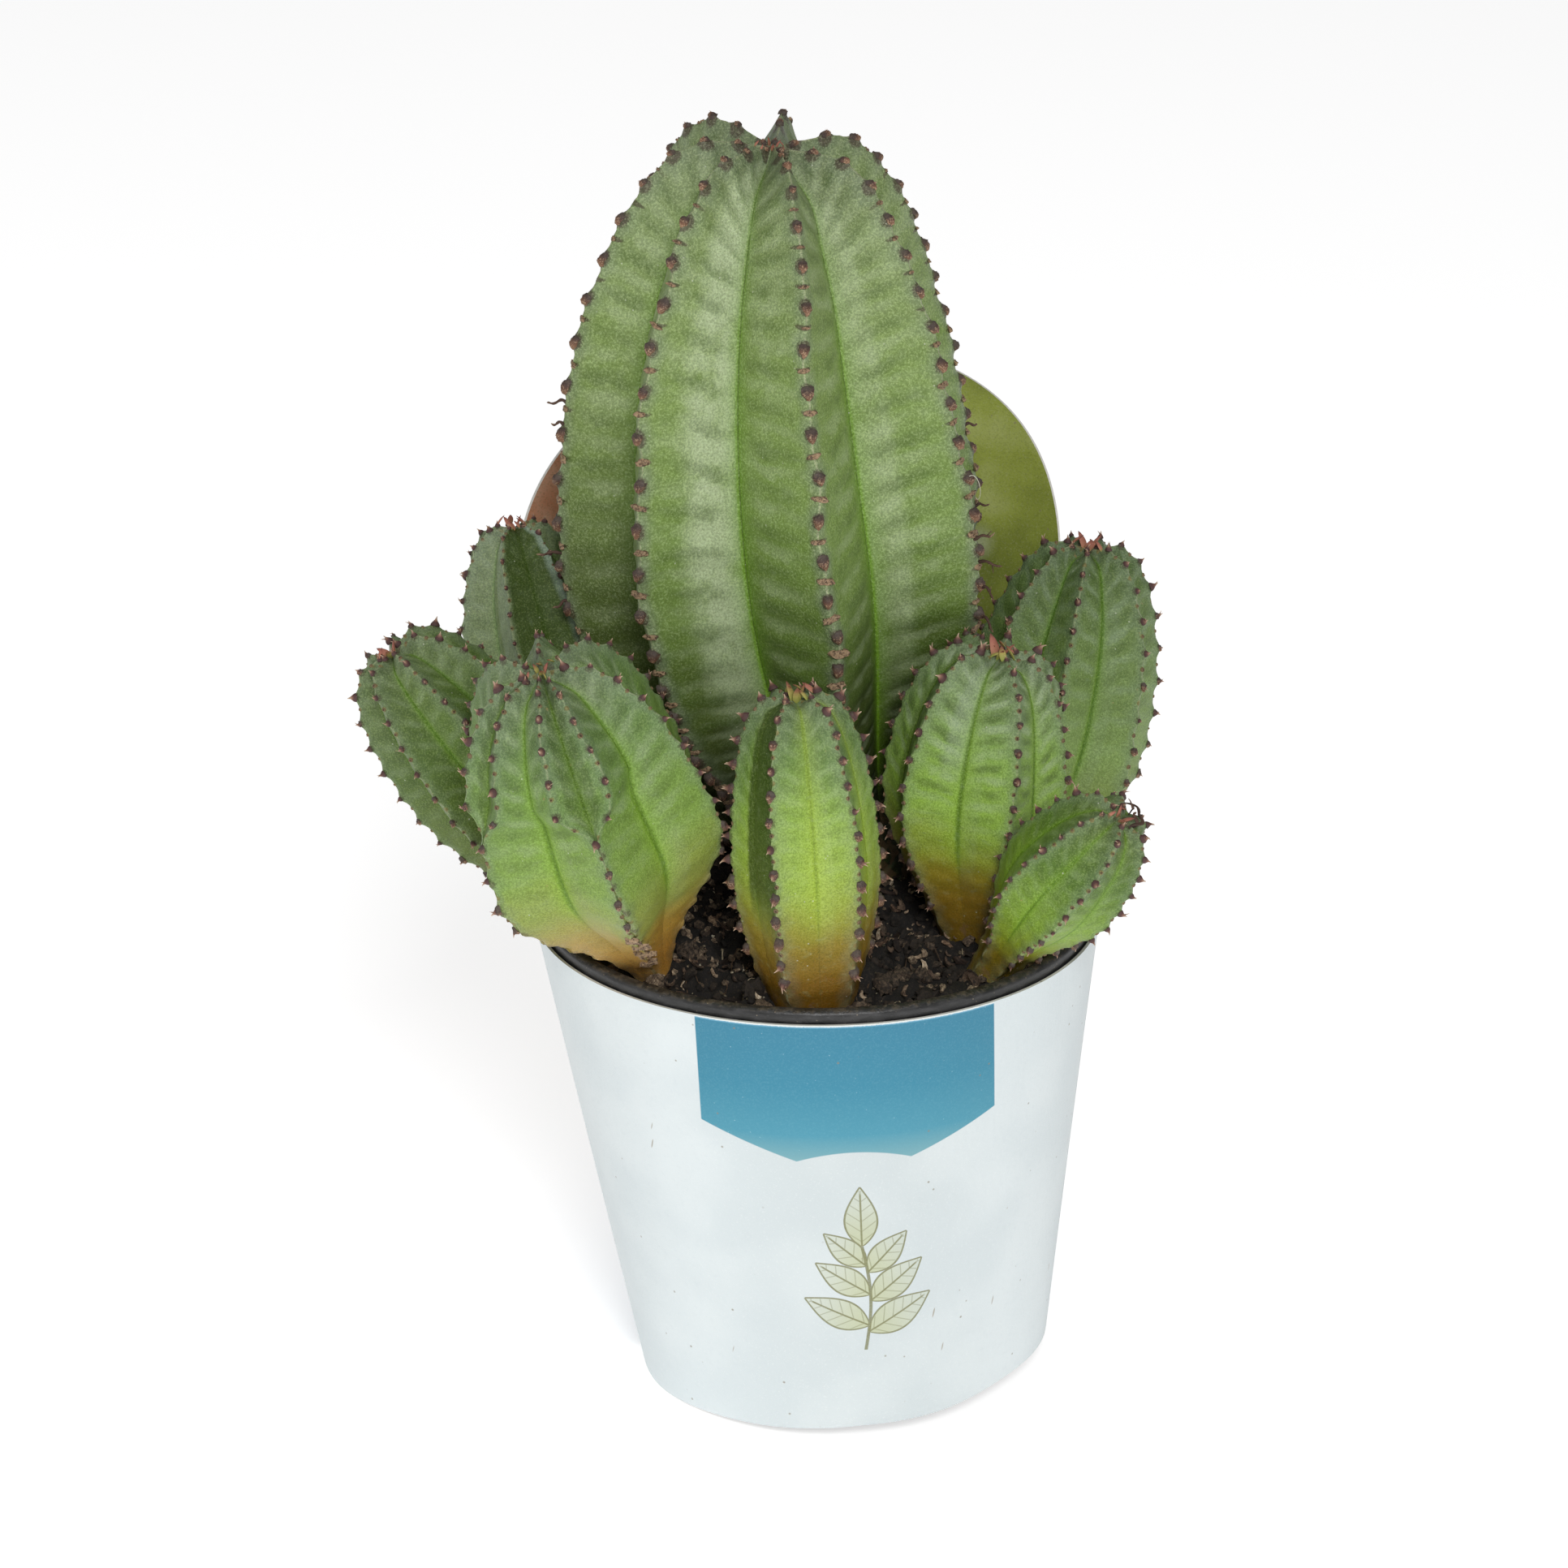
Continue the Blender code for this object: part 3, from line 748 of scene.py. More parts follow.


# Washes over some flanks: middle and half width in ribs, strength, where along the stem, colour. The dark
# green and olive ones are painted shade on flanks that face away from the key light or lie behind a
# neighbouring stem. On the front right offset a grey green one is a painted sheen beside its front groove.
# The other pale ones and the orange brown one make those flanks paler or browner.
PAINTED_SHADE_GREEN, PAINTED_SHADE_OLIVE, GREY_GREEN = (0.035, 0.065, 0.005), (0.05, 0.06, 0.014), (0.34, 0.41, 0.3)
WASHES = {
    # Painted shade: olive, low on the left flank of the tall stem
    "main_stem": ((5.5, 0.42, 0.55, (0.85, 0.4), PAINTED_SHADE_OLIVE),),
    # Painted shade on the left flank of the front centre offset, behind its neighbour, with some darker green
    # of the skin's own
    "offset_front_centre": ((5.7, 0.3, 0.9, (0.3, 0.5), PAINTED_SHADE_GREEN),),
    # Back left offset: painted shade on the flanks turned from the light, and paler grey green on other
    # flanks and on one crest
    "offset_back_left": (
        (0.48, 0.4, 0.85, (0.3, 0.5), PAINTED_SHADE_GREEN), (1.2, 0.3, 0.3, (0.3, 0.5), PAINTED_SHADE_GREEN),
        (6.82, 0.1, 0.45, (0.3, 0.5), GREY_GREEN), (6.25, 0.3, 0.25, (0.3, 0.5), GREY_GREEN),
        (0.98, 0.03, 0.7, (0.3, 0.5), (0.26, 0.34, 0.27)),
    ),
    # Painted shade on two flanks of the left offset
    "offset_left": ((0.25, 0.12, 0.3, (0.3, 0.5), PAINTED_SHADE_GREEN), (6.3, 0.2, 0.3, (0.3, 0.5), PAINTED_SHADE_GREEN)),
    "offset_front_left": (
        # Front left offset: painted shade high up about two grooves, and browner skin low down
        (0.5, 0.2, 0.4, (0.6, 0.7), PAINTED_SHADE_GREEN), (2.5, 0.25, 0.45, (0.62, 0.72), PAINTED_SHADE_GREEN),
        (1.0, 0.8, 0.4, (0.44, 0.32), (0.46, 0.27, 0.09)),
    ),
    "offset_front_right": (
        # Front right offset: painted shade on one flank, and a painted sheen beside its front groove near the
        # top
        (5.62, 0.2, 0.5, (0.3, 0.5), PAINTED_SHADE_GREEN), (6.36, 0.06, 0.35, (0.6, 0.75), GREY_GREEN),
    ),
}


def skin_finish(name, growth, look):
    """Fleshy green skin with a chalky bloom, a bright line down each groove and marks down each crest, with a
    painted highlight beside the grooves, painted shade in the groove creases and on some flanks, and a
    painted sheen.
    """
    size, big = growth.stem.tooth, growth.stem.tall
    finish = Finish(f"{name}_green", 0.5)
    rib, length, count = finish.written("growth")
    distance, along, pitch = finish.written("crest")
    across = 1.0 - abs(rib % 1.0 * 2.0 - 1.0)  # 0 on a crest and 1 in a groove
    blotch = finish.noise(0.085, 2.0)
    patch = finish.noise(0.22, 2.0, rough=0.6)
    chalk = finish.noise(0.16, 3.0, rough=0.62)
    grain = finish.noise(2.9 if big else 3.3, 2.0, rough=0.8)
    drawn_out = finish.at(rib * (5.0 if big else 3.0), length * 0.55, distance * 0.25)
    fibre = finish.noise(1.6, 2.0, place=drawn_out)
    color = finish.ramp(along + (blotch - 0.5) * 0.16, *look.stops)
    # Chalky bloom, thicker towards the top, and a painted highlight: a paler chalky strip on the flank beside
    # each groove, strongest beside the tall stem's left front groove, where the key light catches that flank
    upper = along.rise(0.3, 0.95)
    side = (rib % 1.0).band(0.62, 0.07, 0.07)
    if big:
        side = side * rib.rise(6.5, 6.48) * 0.45 + rib.band(6.34, 0.08, 0.13)
    # Cross bands that run down from the crest to the groove, broken up by the patches. Their pale half is
    # partly a painted sheen, most of all on the front right offset, whose bands are strongest.
    slant = count + across * ((along - 0.45).rise(0.0, 0.5) * 0.75 + 0.2) + (patch - 0.5) * 0.55
    bands = (slant + 0.25).wave() * (across * pi).math("SINE") * (patch - 0.15)
    share = look.bands if big else along.rise(0.35, 0.75) * look.bands
    color = finish.cover(
        color,
        (chalk.rise(0.46, 0.72) * (upper * (0.3 if big else 0.2)), look.bloom),
        # The strip beside the grooves: painted highlight, broken up by the chalk
        (side * chalk.rise(0.16, 0.56) * along.rise(0.2, 0.45) * (0.85 if big else 0.12), look.bloom),
        (bands.rise(0.02, 0.42) * (0.3 * share), look.bloom),
        ((-bands).rise(0.02, 0.4) * (0.42 * share), BAND_GREEN),
    )
    # Groove: bright, with a dark line down its middle, and painted shade in the crease at its very bottom
    foot = along.rise(0.12, 0.2) if big else along.rise(0.3, 0.5)
    near_line = across.rise(0.93 if big else 0.88, 0.985) * foot
    color = finish.cover(
        color,
        (across.rise(1.0 - look.glow, 1.0) * foot * 0.4 * (1.05 - upper * 0.55), look.groove),
        (near_line * (0.85 - upper * 0.5 if big else 0.4), look.groove),
        # Painted shade in the crease at the groove's very bottom
        (across.rise(0.975 if big else 0.96, 1.0) * (0.5 if big else 0.2), CREASE_SHADE),
        (across.rise(0.9, 0.98) * foot * look.line, LINE_GREEN),
    )
    # Crest: a dull powdery band with a pale thin line at its edge
    wide = 1.25 if big else 0.6
    crest = distance.rise(wide + (0.7 if big else 0.5), wide * 0.55) * along.rise(0.2, 0.4)
    line = distance.rise(0.24, 0.08) * patch.rise(0.34, 0.54)
    # Marks at the teeth: dark purple, with a bluish halo
    nearest = ((count + 0.5) % 1.0 - 0.5) * pitch
    halfway = (count % 1.0 - 0.5) * pitch
    speckled = (patch - 0.5) * 0.8 + (grain - 0.5) * 0.9
    mark = (nearest * nearest * (0.55 if big else 0.75) + distance * distance) ** 0.5 + speckled * 0.5
    purple = mark.rise(1.15 * size, 0.8 * size) if big else mark.rise(0.8 * size, 0.4 * size)
    purple = purple if big else purple * along.rise(0.2, 0.3)
    color = finish.cover(
        color,
        (crest * (0.62 - upper * 0.35 if big else 0.25), look.crest),
        (line * (0.6 if big else 0.4), (0.38, 0.39, 0.23)),
        (mark.rise(2.6 * size, 1.0 * size) * 0.2, (0.17, 0.22, 0.17)),
        (purple * (0.8 if big else 0.6), (0.06, 0.032, 0.028)),
    )
    if big:
        scar = (halfway * halfway * 9.0 + distance * distance) ** 0.5 + speckled
        scar = scar.rise(1.5, 1.0) * (growth.length - length).rise(16.0, 26.0)
        color = finish.mix(scar * 0.8, color, (0.06, 0.04, 0.024))
    else:
        bead = (halfway * halfway + distance * distance) ** 0.5
        halo, pit = bead.rise(1.4, 0.6) * 0.2, bead.rise(0.5, 0.3) * 0.6
        color = finish.cover(color, (halo, (0.2, 0.26, 0.17)), (pit, (0.2, 0.12, 0.03)))
    # Washes from the table: painted shade on flanks turned from the light, a painted sheen, and some paler or
    # browner flanks
    for middle, half, strength, setting_in, wash in WASHES.get(name, ()):
        color = finish.mix(rib.band(middle, half, 0.1) * along.rise(*setting_in) * strength, color, wash)
    # Fine grain, fibres, pale dots, and brown corky skin low down
    specks = (0.13, 0.145, 0.085) if big else (0.085, 0.1, 0.045)
    color = finish.mix(grain.rise(0.48, 0.66) * (along.rise(0.22, 0.5) * 0.6 + 0.3), color, specks, "ADD")
    cork = (finish.noise(0.5, 3.0) + (0.2 - along).rise(0.0, 0.2) * 0.25).rise(0.66, 0.76)
    color = finish.cover(
        color,
        (grain.rise(0.5, 0.36) * 0.3, (0.05, 0.08, 0.012)),
        (fibre.rise(0.55, 0.8) * 0.14, look.bloom),
        (finish.cells(0.55).rise(0.09, 0.05) * patch.rise(0.5, 0.6) * 0.6, (0.6, 0.62, 0.5)),
        (cork * along.rise(0.3, 0.1) * 0.6, (0.2, 0.12, 0.06)),
    )
    if not big:
        spots = finish.noise(0.42, 3.0, rough=0.75).rise(0.7, 0.75)
        color = finish.mix(spots * 0.6, color, (0.36, 0.25, 0.11))
    finish.link(Base_Color=color, Roughness=0.42 + chalk.rise(0.4, 0.75) * 0.14 + (grain - 0.5) * 0.3)
    finish.bump(grain * 0.9 + fibre * 0.3 + patch * 0.9 - purple * 0.4, 0.17)
    finish.settle(Subsurface_Weight=0.12, Subsurface_Scale=1.5 * MM, Subsurface_Radius=(0.6, 1.0, 0.25))
    finish.settle(Specular_IOR_Level=0.34 if big else 0.26)
    return finish


# Growths on the crests

# Kinds of growth in the notes of its points: a scar's or bead's is the first number, the others' the second
SCAR, BEAD, HOOK, LEAFLET = 2.0, 4.0, 6.0, 8.0


def ellipse(sides):
    """Cosines and sines of one full turn in equal steps."""
    turn = np.arange(sides) * 2 * pi / sides
    return np.cos(turn), np.sin(turn)


def on_crest(at, x, y, h):
    """Points at x sideways, y upwards and h outwards of a place on a crest."""
    here, out, side, up = at
    x, y, h = np.broadcast_arrays(x, y, h)
    return here + x[..., None] * side + y[..., None] * up + h[..., None] * out


def add_shield(joined, at, size, own, sides=14, rise=1.0, bump=0.5):
    """A rough scab shaped like a shield, flat above and pointed below, draped over the bump under it."""
    cosine, sine = ellipse(sides)
    rough = own.normal(0, 1, (6, sides))
    wide, tall = 1.08 * size * own.uniform(0.85, 1.12), 1.12 * size * own.uniform(0.85, 1.15)
    scales = np.array([1.0, 0.98, 0.86, 0.62, 0.34, 0.12])[:, None]
    heights = np.array([-0.5, 0.03, 0.18 * rise, 0.29 * rise, 0.34 * rise, 0.28 * rise])[:, None] * size
    reach = scales * (1 + 0.09 * rough)
    x = wide * sine * (0.74 + 0.32 * cosine) * reach
    y = tall * cosine * reach + 0.05
    h = heights + 0.07 * rough * (scales < 0.99) + 0.18 * size * np.clip(-y / tall, 0, 1) * (scales < 0.9)
    h = h - bump * (1 - np.exp(-(x**2 + y**2) / 1.6))
    joined.loft(on_crest(at, x, y, h), np.stack([y / tall, x / wide, np.full(x.shape, own.uniform())], -1))


def add_scar(joined, at, size, own):
    """A thin raised scar that lies across a crest."""
    cosine, sine = ellipse(14)
    rough = own.normal(0, 1, (5, 14))
    wide, tall = 1.12 * size * own.uniform(0.7, 1.15), 0.4 * size * own.uniform(0.8, 1.4)
    scales = np.array([1.0, 0.97, 0.8, 0.45, 0.1])[:, None]
    heights = np.array([-0.4, 0.02, 0.1, 0.13, 0.04])[:, None] * size
    reach = scales * (1 + 0.1 * rough)
    tilt = own.normal(0, 0.12)
    x, y = wide * cosine * reach, tall * sine * reach
    h = heights + 0.06 * rough * (scales < 0.99)
    notes = np.stack([y / tall * 0.2 + SCAR, x / wide, np.full(x.shape, own.uniform())], -1)
    joined.loft(on_crest(at, x - y * tilt, y + x * tilt, h), notes)


def add_bead(joined, at, size, own):
    """A small round bead with a pit in it."""
    cosine, sine = ellipse(8)
    rough = own.normal(0, 1, (5, 8))
    wide = 0.34 * size * own.uniform(0.7, 1.2)
    scales = np.array([1.0, 0.92, 0.62, 0.36, 0.12])[:, None]
    heights = np.array([-0.3, 0.08, 0.18, 0.07, 0.02])[:, None] * size
    reach = scales * (1 + 0.06 * rough)
    x, y = wide * cosine * reach, wide * sine * reach
    notes = [np.full(x.shape, BEAD), np.broadcast_to(scales, x.shape), np.full(x.shape, own.uniform())]
    joined.loft(on_crest(at, x, y, heights + 0.02 * rough), np.stack(notes, -1))


def add_hook(joined, at, size, own, lean=None):
    """A fleshy dark tooth that ends in a small dry hook, and often forks."""
    side = at[2]
    reach = size * own.uniform(0.75, 1.25)
    drop = own.uniform(-1.15, -0.35) if lean is None else lean
    slip = own.normal(0, 0.28)
    steps = np.linspace(0, 1, 8)
    x = slip * steps**2 * reach
    y = reach * (0.12 * steps + drop * steps**2.2 * 0.75)
    h = reach * (-0.35 + 2.15 * steps - 0.45 * steps**2)
    radii = reach * np.array([0.9, 0.84, 0.66, 0.42, 0.24, 0.15, 0.1, 0.03])
    joined.tube(on_crest(at, x, y, h), radii, HOOK, own.uniform(), sides=8, flat=0.8, face=side)
    if own.uniform() < 0.6:
        x = x + (steps - 0.4).clip(0) * own.choice((-1, 1)) * 1.1 * reach
        y = y + (steps - 0.4).clip(0) * 0.9 * reach
        fork = on_crest(at, x, y, h * 0.93)[2:]
        joined.tube(fork, radii[2:] * 0.7, HOOK, own.uniform(), sides=6, flat=0.8, face=side)


def add_leaflet(joined, at, length, own, turn, rosy):
    """A small pointed leaf that curves away from where it grows."""
    here, out, side, up = at
    steps = np.linspace(0, 1, 9)
    away = np.cos(turn) * side + np.sin(turn) * up
    lean = own.uniform(0.25, 0.6)
    path = here + (steps * length * 0.92)[:, None] * out + (steps**1.7 * length * lean)[:, None] * away
    path = path - out * 0.3
    width = length * own.uniform(0.17, 0.27) * np.sin(pi * np.clip(steps * 0.86 + 0.14, 0, 1)) ** 0.7
    width[-1] = 0.02
    tint = own.uniform(0.55, 1) if own.uniform() < rosy else own.uniform(0, 0.3)
    joined.tube(path, width, LEAFLET, tint, sides=8, flat=0.38, face=away)


def tooth_finish(name, tip, young, older):
    """Dry horny teeth and corky scars: dark where they join, tan and cracked where they have dried."""
    finish = Finish(name, 0.68)
    first, second, own = finish.written("growth")
    rough = finish.noise(2.2, 3.0, rough=0.65)
    fine = finish.noise(5.5, 2.0)
    shift = (own - 0.5) * 0.5 + (rough - 0.5) * 0.9
    # Shields: slate above, rust and tan below
    shield = finish.ramp(
        first * 0.5 + 0.5 + shift * 0.4,
        (0.0, (0.26, 0.14, 0.08)), (0.28, (0.17, 0.08, 0.045)), (0.5, (0.1, 0.048, 0.032)),
        (0.75, (0.06, 0.038, 0.03)), (1.0, (0.085, 0.066, 0.054)),
    )
    specks = (fine + rough - 1.0).rise(0.02, 0.16)
    shield = finish.mix(specks * (first.rise(0.6, -0.1) * 0.75 + 0.12), shield, (0.42, 0.28, 0.17))
    scar = finish.mix(rough.rise(0.38, 0.56), (0.075, 0.042, 0.024), (0.32, 0.21, 0.12))
    scar = finish.mix(fine.rise(0.55, 0.7) * 0.6, scar, (0.48, 0.36, 0.22))
    bead = finish.mix(second.rise(0.3, 0.62), (0.05, 0.03, 0.015), (0.17, 0.115, 0.055))
    bead = finish.mix(rough.rise(0.5, 0.75) * 0.5, bead, (0.32, 0.24, 0.13))
    hook = finish.ramp(
        first + shift * 0.16,
        (0.0, (0.07, 0.034, 0.03)), (0.3, (0.085, 0.036, 0.032)), (0.46, (0.2, 0.095, 0.065)),
        (0.6, tip), (1.0, (0.6, 0.45, 0.32)),
    )
    dried = first + shift * 0.25
    leaf = finish.ramp(
        dried, (0.0, young), (0.5, older), (0.8, (0.27, 0.11, 0.055)), (1.0, (0.14, 0.05, 0.03))
    )
    rosy = finish.ramp(
        dried, (0.0, young), (0.35, (0.45, 0.2, 0.12)), (0.8, (0.4, 0.14, 0.1)), (1.0, (0.2, 0.07, 0.05))
    )
    leaf = finish.mix(own.rise(0.35, 0.5), leaf, rosy)
    kinds = (first.reaches(SCAR), scar), (first.reaches(BEAD), bead), (second.reaches(HOOK), hook)
    color = finish.cover(shield, *kinds, (second.reaches(LEAFLET), leaf))
    finish.link(Base_Color=color, Roughness=0.58 + rough * 0.25)
    finish.bump(rough * 0.7 + fine * 0.5, 0.12)
    return finish


def frames(growth, places):
    """What on_crest needs for each of some places, given as (length, rib)."""
    lengths, ribs = np.array(places, float).reshape(-1, 2).T
    return zip(*growth.frame_at(lengths, ribs))


def dress_crests(name, growth, finish, slot):
    """Teeth, scars, beads and tip leaflets of one stem, as one piece."""
    stem = growth.stem
    size, tall = stem.tooth, stem.tall
    own = np.random.default_rng(len(name) * 131 + int(stem.radius * 10))
    joined = Joined()
    places = growth.teeth(lowest=6.0 if tall else 11.0)
    for (length, rib), at in zip(places, frames(growth, places)):
        left = growth.length - length
        if tall:
            grown = 0.6 + 0.4 * min(left / 45, 1)
            flat = 0.6 if left < 60 else 0.8
            add_shield(joined, at, size * grown * own.uniform(0.88, 1.08), own, rise=flat, bump=0.9)
            if own.uniform() < (0.6 if left < 24 else 0.15):
                add_hook(joined, at, size * own.uniform(0.26, 0.42), own)
        elif length < stem.scarred:
            if rib in stem.merging[0]:
                add_scar(joined, at, size * own.uniform(1.3, 1.7), own)
        else:
            young = smooth((growth.along(length) - 0.35) / 0.6)
            reach = size * own.uniform(0.5, 0.72) * (1 + 0.25 * young)
            add_hook(joined, at, reach, own, own.uniform(-0.7, 0.5) if young > 0.6 else None)
            if young < 0.2 or own.uniform() < 0.6:
                add_shield(joined, at, size * own.uniform(0.6, 0.8) * (1.15 - 0.35 * young), own, 10)
    # Halfway between the teeth: scars on the tall stem, and beads on the offsets
    places = growth.teeth(shift=0.5, lowest=8.0 if tall else 14.0, highest=2.4)
    for (length, rib), at in zip(places, frames(growth, places)):
        left = growth.length - length
        if own.uniform() < 0.08 or (tall and left < 16):
            continue
        if length < stem.scarred:
            if rib in stem.merging[0]:
                add_scar(joined, at, size * own.uniform(0.9, 1.3), own)
        elif tall:
            add_scar(joined, at, size * own.uniform(0.85, 1.1) * (0.5 + 0.65 * min(left / 75, 1)), own)
        else:
            add_bead(joined, at, size * own.uniform(0.8, 1.15), own)
    # Leaflets on the last teeth, and three round the growing point
    tops = []
    for rib in range(len(stem.ribs)):
        if own.uniform() < 0.55:
            tops.append((growth.length - own.uniform(1.4, 3.0), rib))
    for here, out, side, up in frames(growth, tops):
        long, at = stem.leaflet * own.uniform(0.4, 0.65), (here, unit(out + 0.3 * up), side, up)
        add_leaflet(joined, at, long, own, own.uniform(0.6, 2.5), stem.rosy)
    centre, side, back, up = growth.axis(np.array(0.9999))
    pole = centre - up * (CROWN * stem.radius + 0.4)
    for index in range(3):
        turn = index * 2.4 + own.uniform(-0.3, 0.3)
        long = stem.leaflet * (0.85 if index < 2 else own.uniform(0.5, 0.75))
        start = pole + 0.5 * (np.cos(turn) * side + np.sin(turn) * back)
        add_leaflet(joined, (start, up, side, back), long, own, turn, stem.rosy)
    joined.finish(f"{name}_teeth", finish, slot)


# Loose dry growths

DRY, HAIR = 0.0, 2.0  # the kind of all of them, and the own number of a pale hair

# Dried flower stalks on the tall stem's crests: share of its length, rib and reach
STALKS = (
    (0.62, 5, 3.2), (0.6, 5, 2.4), (0.47, 5, 4.6), (0.42, 5, 3.0), (0.35, 5, 2.2), (0.5, 4, 3.0),
    (0.46, 1, 4.2), (0.43, 1, 4.8), (0.4, 1, 3.4), (0.36, 1, 3.8), (0.3, 1, 2.6), (0.5, 2, 3.2),
    (0.4, 2, 3.0), (0.33, 6, 2.2), (0.25, 1, 2.4), (0.2, 0, 2.0),
)
# Shrivelled leaves at the tip of the small leaning stem: rib, length below the tip, and reach
SHREDS = (1.0, 2.6, 3.6), (1.6, 2.0, 3.0), (2.2, 3.0, 3.8), (2.8, 2.2, 2.6)


def add_stalk(joined, growth, share, rib, reach, own, width=0.19):
    """A dried flower stalk that bends away from a crest and ends in a ragged tip."""
    (here, out, side, up), = frames(growth, [(share * growth.length, rib)])
    steps = np.linspace(0, 1, 14)
    drop, slip = own.uniform(-0.9, 0.6), own.normal(0, 0.35)
    rising = drop * reach * 0.6 * steps**2 + 0.22 * np.sin(steps * 9 + own.uniform(0, 6))
    aside = slip * reach * steps**1.5 + 0.15 * np.sin(steps * 7 + own.uniform(0, 6))
    path = here - out * 0.4 + (steps * reach * 0.95)[:, None] * out
    path = path + rising[:, None] * up + aside[:, None] * side
    radii = width * (1.5 - 0.9 * steps + 0.35 * np.sin(steps * 11 + own.uniform(0, 6)) ** 2)
    radii[-1] = 0.04
    joined.tube(path, radii, DRY, own.uniform(), sides=7)
    if reach > 3.2:
        fork = path[8] + (np.linspace(0, 1, 6) * reach * 0.3)[:, None] * unit(out + own.normal(0, 0.8, 3))
        joined.tube(fork, np.linspace(width * 0.8, 0.04, 6), DRY, own.uniform(), sides=6)


def stalk_finish():
    """Brown dry fibre, paler towards its end, and a pale hair."""
    finish = Finish("dry_stalk_brown", 0.75)
    first, _, own = finish.written("growth")
    rough = finish.noise(3.0, 3.0, rough=0.6)
    color = finish.ramp(
        first + (rough - 0.5) * 0.7 + (own - 0.5) * 0.3,
        (0.0, (0.04, 0.02, 0.012)), (0.5, (0.075, 0.036, 0.022)), (0.85, (0.13, 0.07, 0.045)),
        (1.0, (0.26, 0.17, 0.1)),
    )
    color = finish.mix(own.reaches(HAIR), color, (0.62, 0.6, 0.48))
    finish.link(Base_Color=color, Roughness=0.62 + rough * 0.25)
    finish.bump(rough, 0.1)
    return finish


def make_dry_growths(main, small, finish):
    """Flower stalks and a curled hair on the tall stem, and shrivelled leaves on the small leaning one."""
    own = np.random.default_rng(3)
    stalks, shreds = Joined(), Joined()
    for share, rib, reach in STALKS:
        add_stalk(stalks, main, share, rib, reach, own)
    (here, out, side, up), = frames(main, [(0.53 * main.length, 1)])
    curl = np.linspace(0.3, 4.4, 16)
    hair = here + out * 0.5 + 1.9 * np.cos(curl)[:, None] * up
    hair = hair + (1.9 * np.sin(curl) - 2.0)[:, None] * side + (0.3 * curl)[:, None] * out
    stalks.tube(hair, np.linspace(0.07, 0.03, 16), DRY, HAIR, sides=5)
    stalks.finish("dry_stalks", finish, "main_stem_skin")
    steps = np.linspace(0, 1, 12)
    for rib, below, reach in SHREDS:
        (here, out, side, up), = frames(small, [(small.length - below, rib)])
        path = here + (0.5 + 1.3 * np.sin(steps * 2.6))[:, None] * out
        path = path + ((steps - 0.4) * reach)[:, None] * side + (0.5 * np.sin(steps * 8 + rib))[:, None] * up
        radii = 0.34 * np.sin(pi * (0.08 + 0.86 * steps)) ** 0.6
        shreds.tube(path, radii, DRY, own.uniform(0, 0.3), sides=7, flat=0.4, face=out)
    shreds.finish("shrivelled_leaves", finish, "offset_skin")


# Potting mix

# Kinds of loose pieces in the notes of their points: a root's is the second number, the others' the first
PEAT, BARK, SCALE, GRIT, ROOT = 0.0, 1.0, 2.0, 3.0, 4.0
MIX_RADIUS = 42.4  # how far the mix's free surface reaches, in millimetres


def lattice(points, step, seed):
    """Smooth noise between -1 and 1 over a plane, one random height a step."""
    own = np.random.default_rng(seed)
    table = own.uniform(-1, 1, (257, 257))
    place = points / step + 128
    low = np.floor(place).astype(int)
    share = smooth(place - low)
    low = np.clip(low, 0, 255)
    a, b = table[low[..., 0], low[..., 1]], table[low[..., 0] + 1, low[..., 1]]
    c, d = table[low[..., 0], low[..., 1] + 1], table[low[..., 0] + 1, low[..., 1] + 1]
    return (a * (1 - share[..., 0]) + b * share[..., 0]) * (1 - share[..., 1]) + (
        c * (1 - share[..., 0]) + d * share[..., 0]
    ) * share[..., 1]


def clear_of_stems(x, y, spare):
    """Whether a point of the surface is outside every stem."""
    for growth in GROWTHS.values():
        stem = growth.stem
        height = mix_height(hypot(*stem.foot) * MM) / MM
        along = np.linspace(0, 0.2, 60)
        centre = growth.axis(along)[0]
        row = int(np.argmin(np.abs(centre[:, 2] - height - 0.5)))
        reach = stem.radius * float(crest_width(stem, along[row])) * 0.93 + spare
        if hypot(x - centre[row, 0], y - centre[row, 1]) <= reach:
            return False
    return True


def mix_surface(x, y):
    """Height of the rough surface in millimetres."""
    place = np.stack([np.asarray(x, float), np.asarray(y, float)], -1)
    radius = np.hypot(x, y)
    rough = 1.9 * lattice(place, 5.6, 1) + 2.1 * lattice(place, 2.5, 2)
    rough = rough + 1.2 * np.abs(lattice(place, 1.15, 3)) - 0.9 + 0.25 * lattice(place, 0.6, 4)
    edge = smooth((MIX_RADIUS - radius) / 4.0)
    return mix_height(radius * MM) / MM - 0.3 + rough * (0.35 + 0.65 * edge)


def make_mix(finish):
    """The heaped surface, fine on top, and the smooth body of the mix below it."""
    shoulder = (POT_HEIGHT - POT_LIP_HEIGHT) / MM

    def wall(height):
        slope = (POT_SHOULDER_RADIUS - POT_BASE_RADIUS) / MM / shoulder
        return (POT_BASE_RADIUS - POT_WALL) / MM + slope * height - GAP / MM

    edge = min(wall(MIX_EDGE_HEIGHT / MM), (POT_RIM_RADIUS - POT_LIP_WIDTH - GAP) / MM)
    sides = 300
    turn = np.arange(sides) * 2 * pi / sides
    radii = np.concatenate([np.linspace(0.6, edge - 0.5, 74), [edge]])
    rings = []
    for radius in radii:
        x, y = radius * np.cos(turn), radius * np.sin(turn)
        rings.append(np.stack([x, y, mix_surface(x, y)], -1))
    for height in (MIX_EDGE_HEIGHT / MM - 2.5, MIX_EDGE_HEIGHT / MM - 8, 40.0, (POT_WALL + GAP) / MM):
        radius = min(wall(height), edge)
        rings.append(np.stack([radius * np.cos(turn), radius * np.sin(turn), np.full(sides, height)], -1))
    joined = Joined()
    joined.loft(np.array(rings)[::-1], (0, 0, 0))
    points = np.concatenate(joined.points)
    return new_piece("mix_surface", points, joined.faces, finish, ("potting_mix",), crease=180)


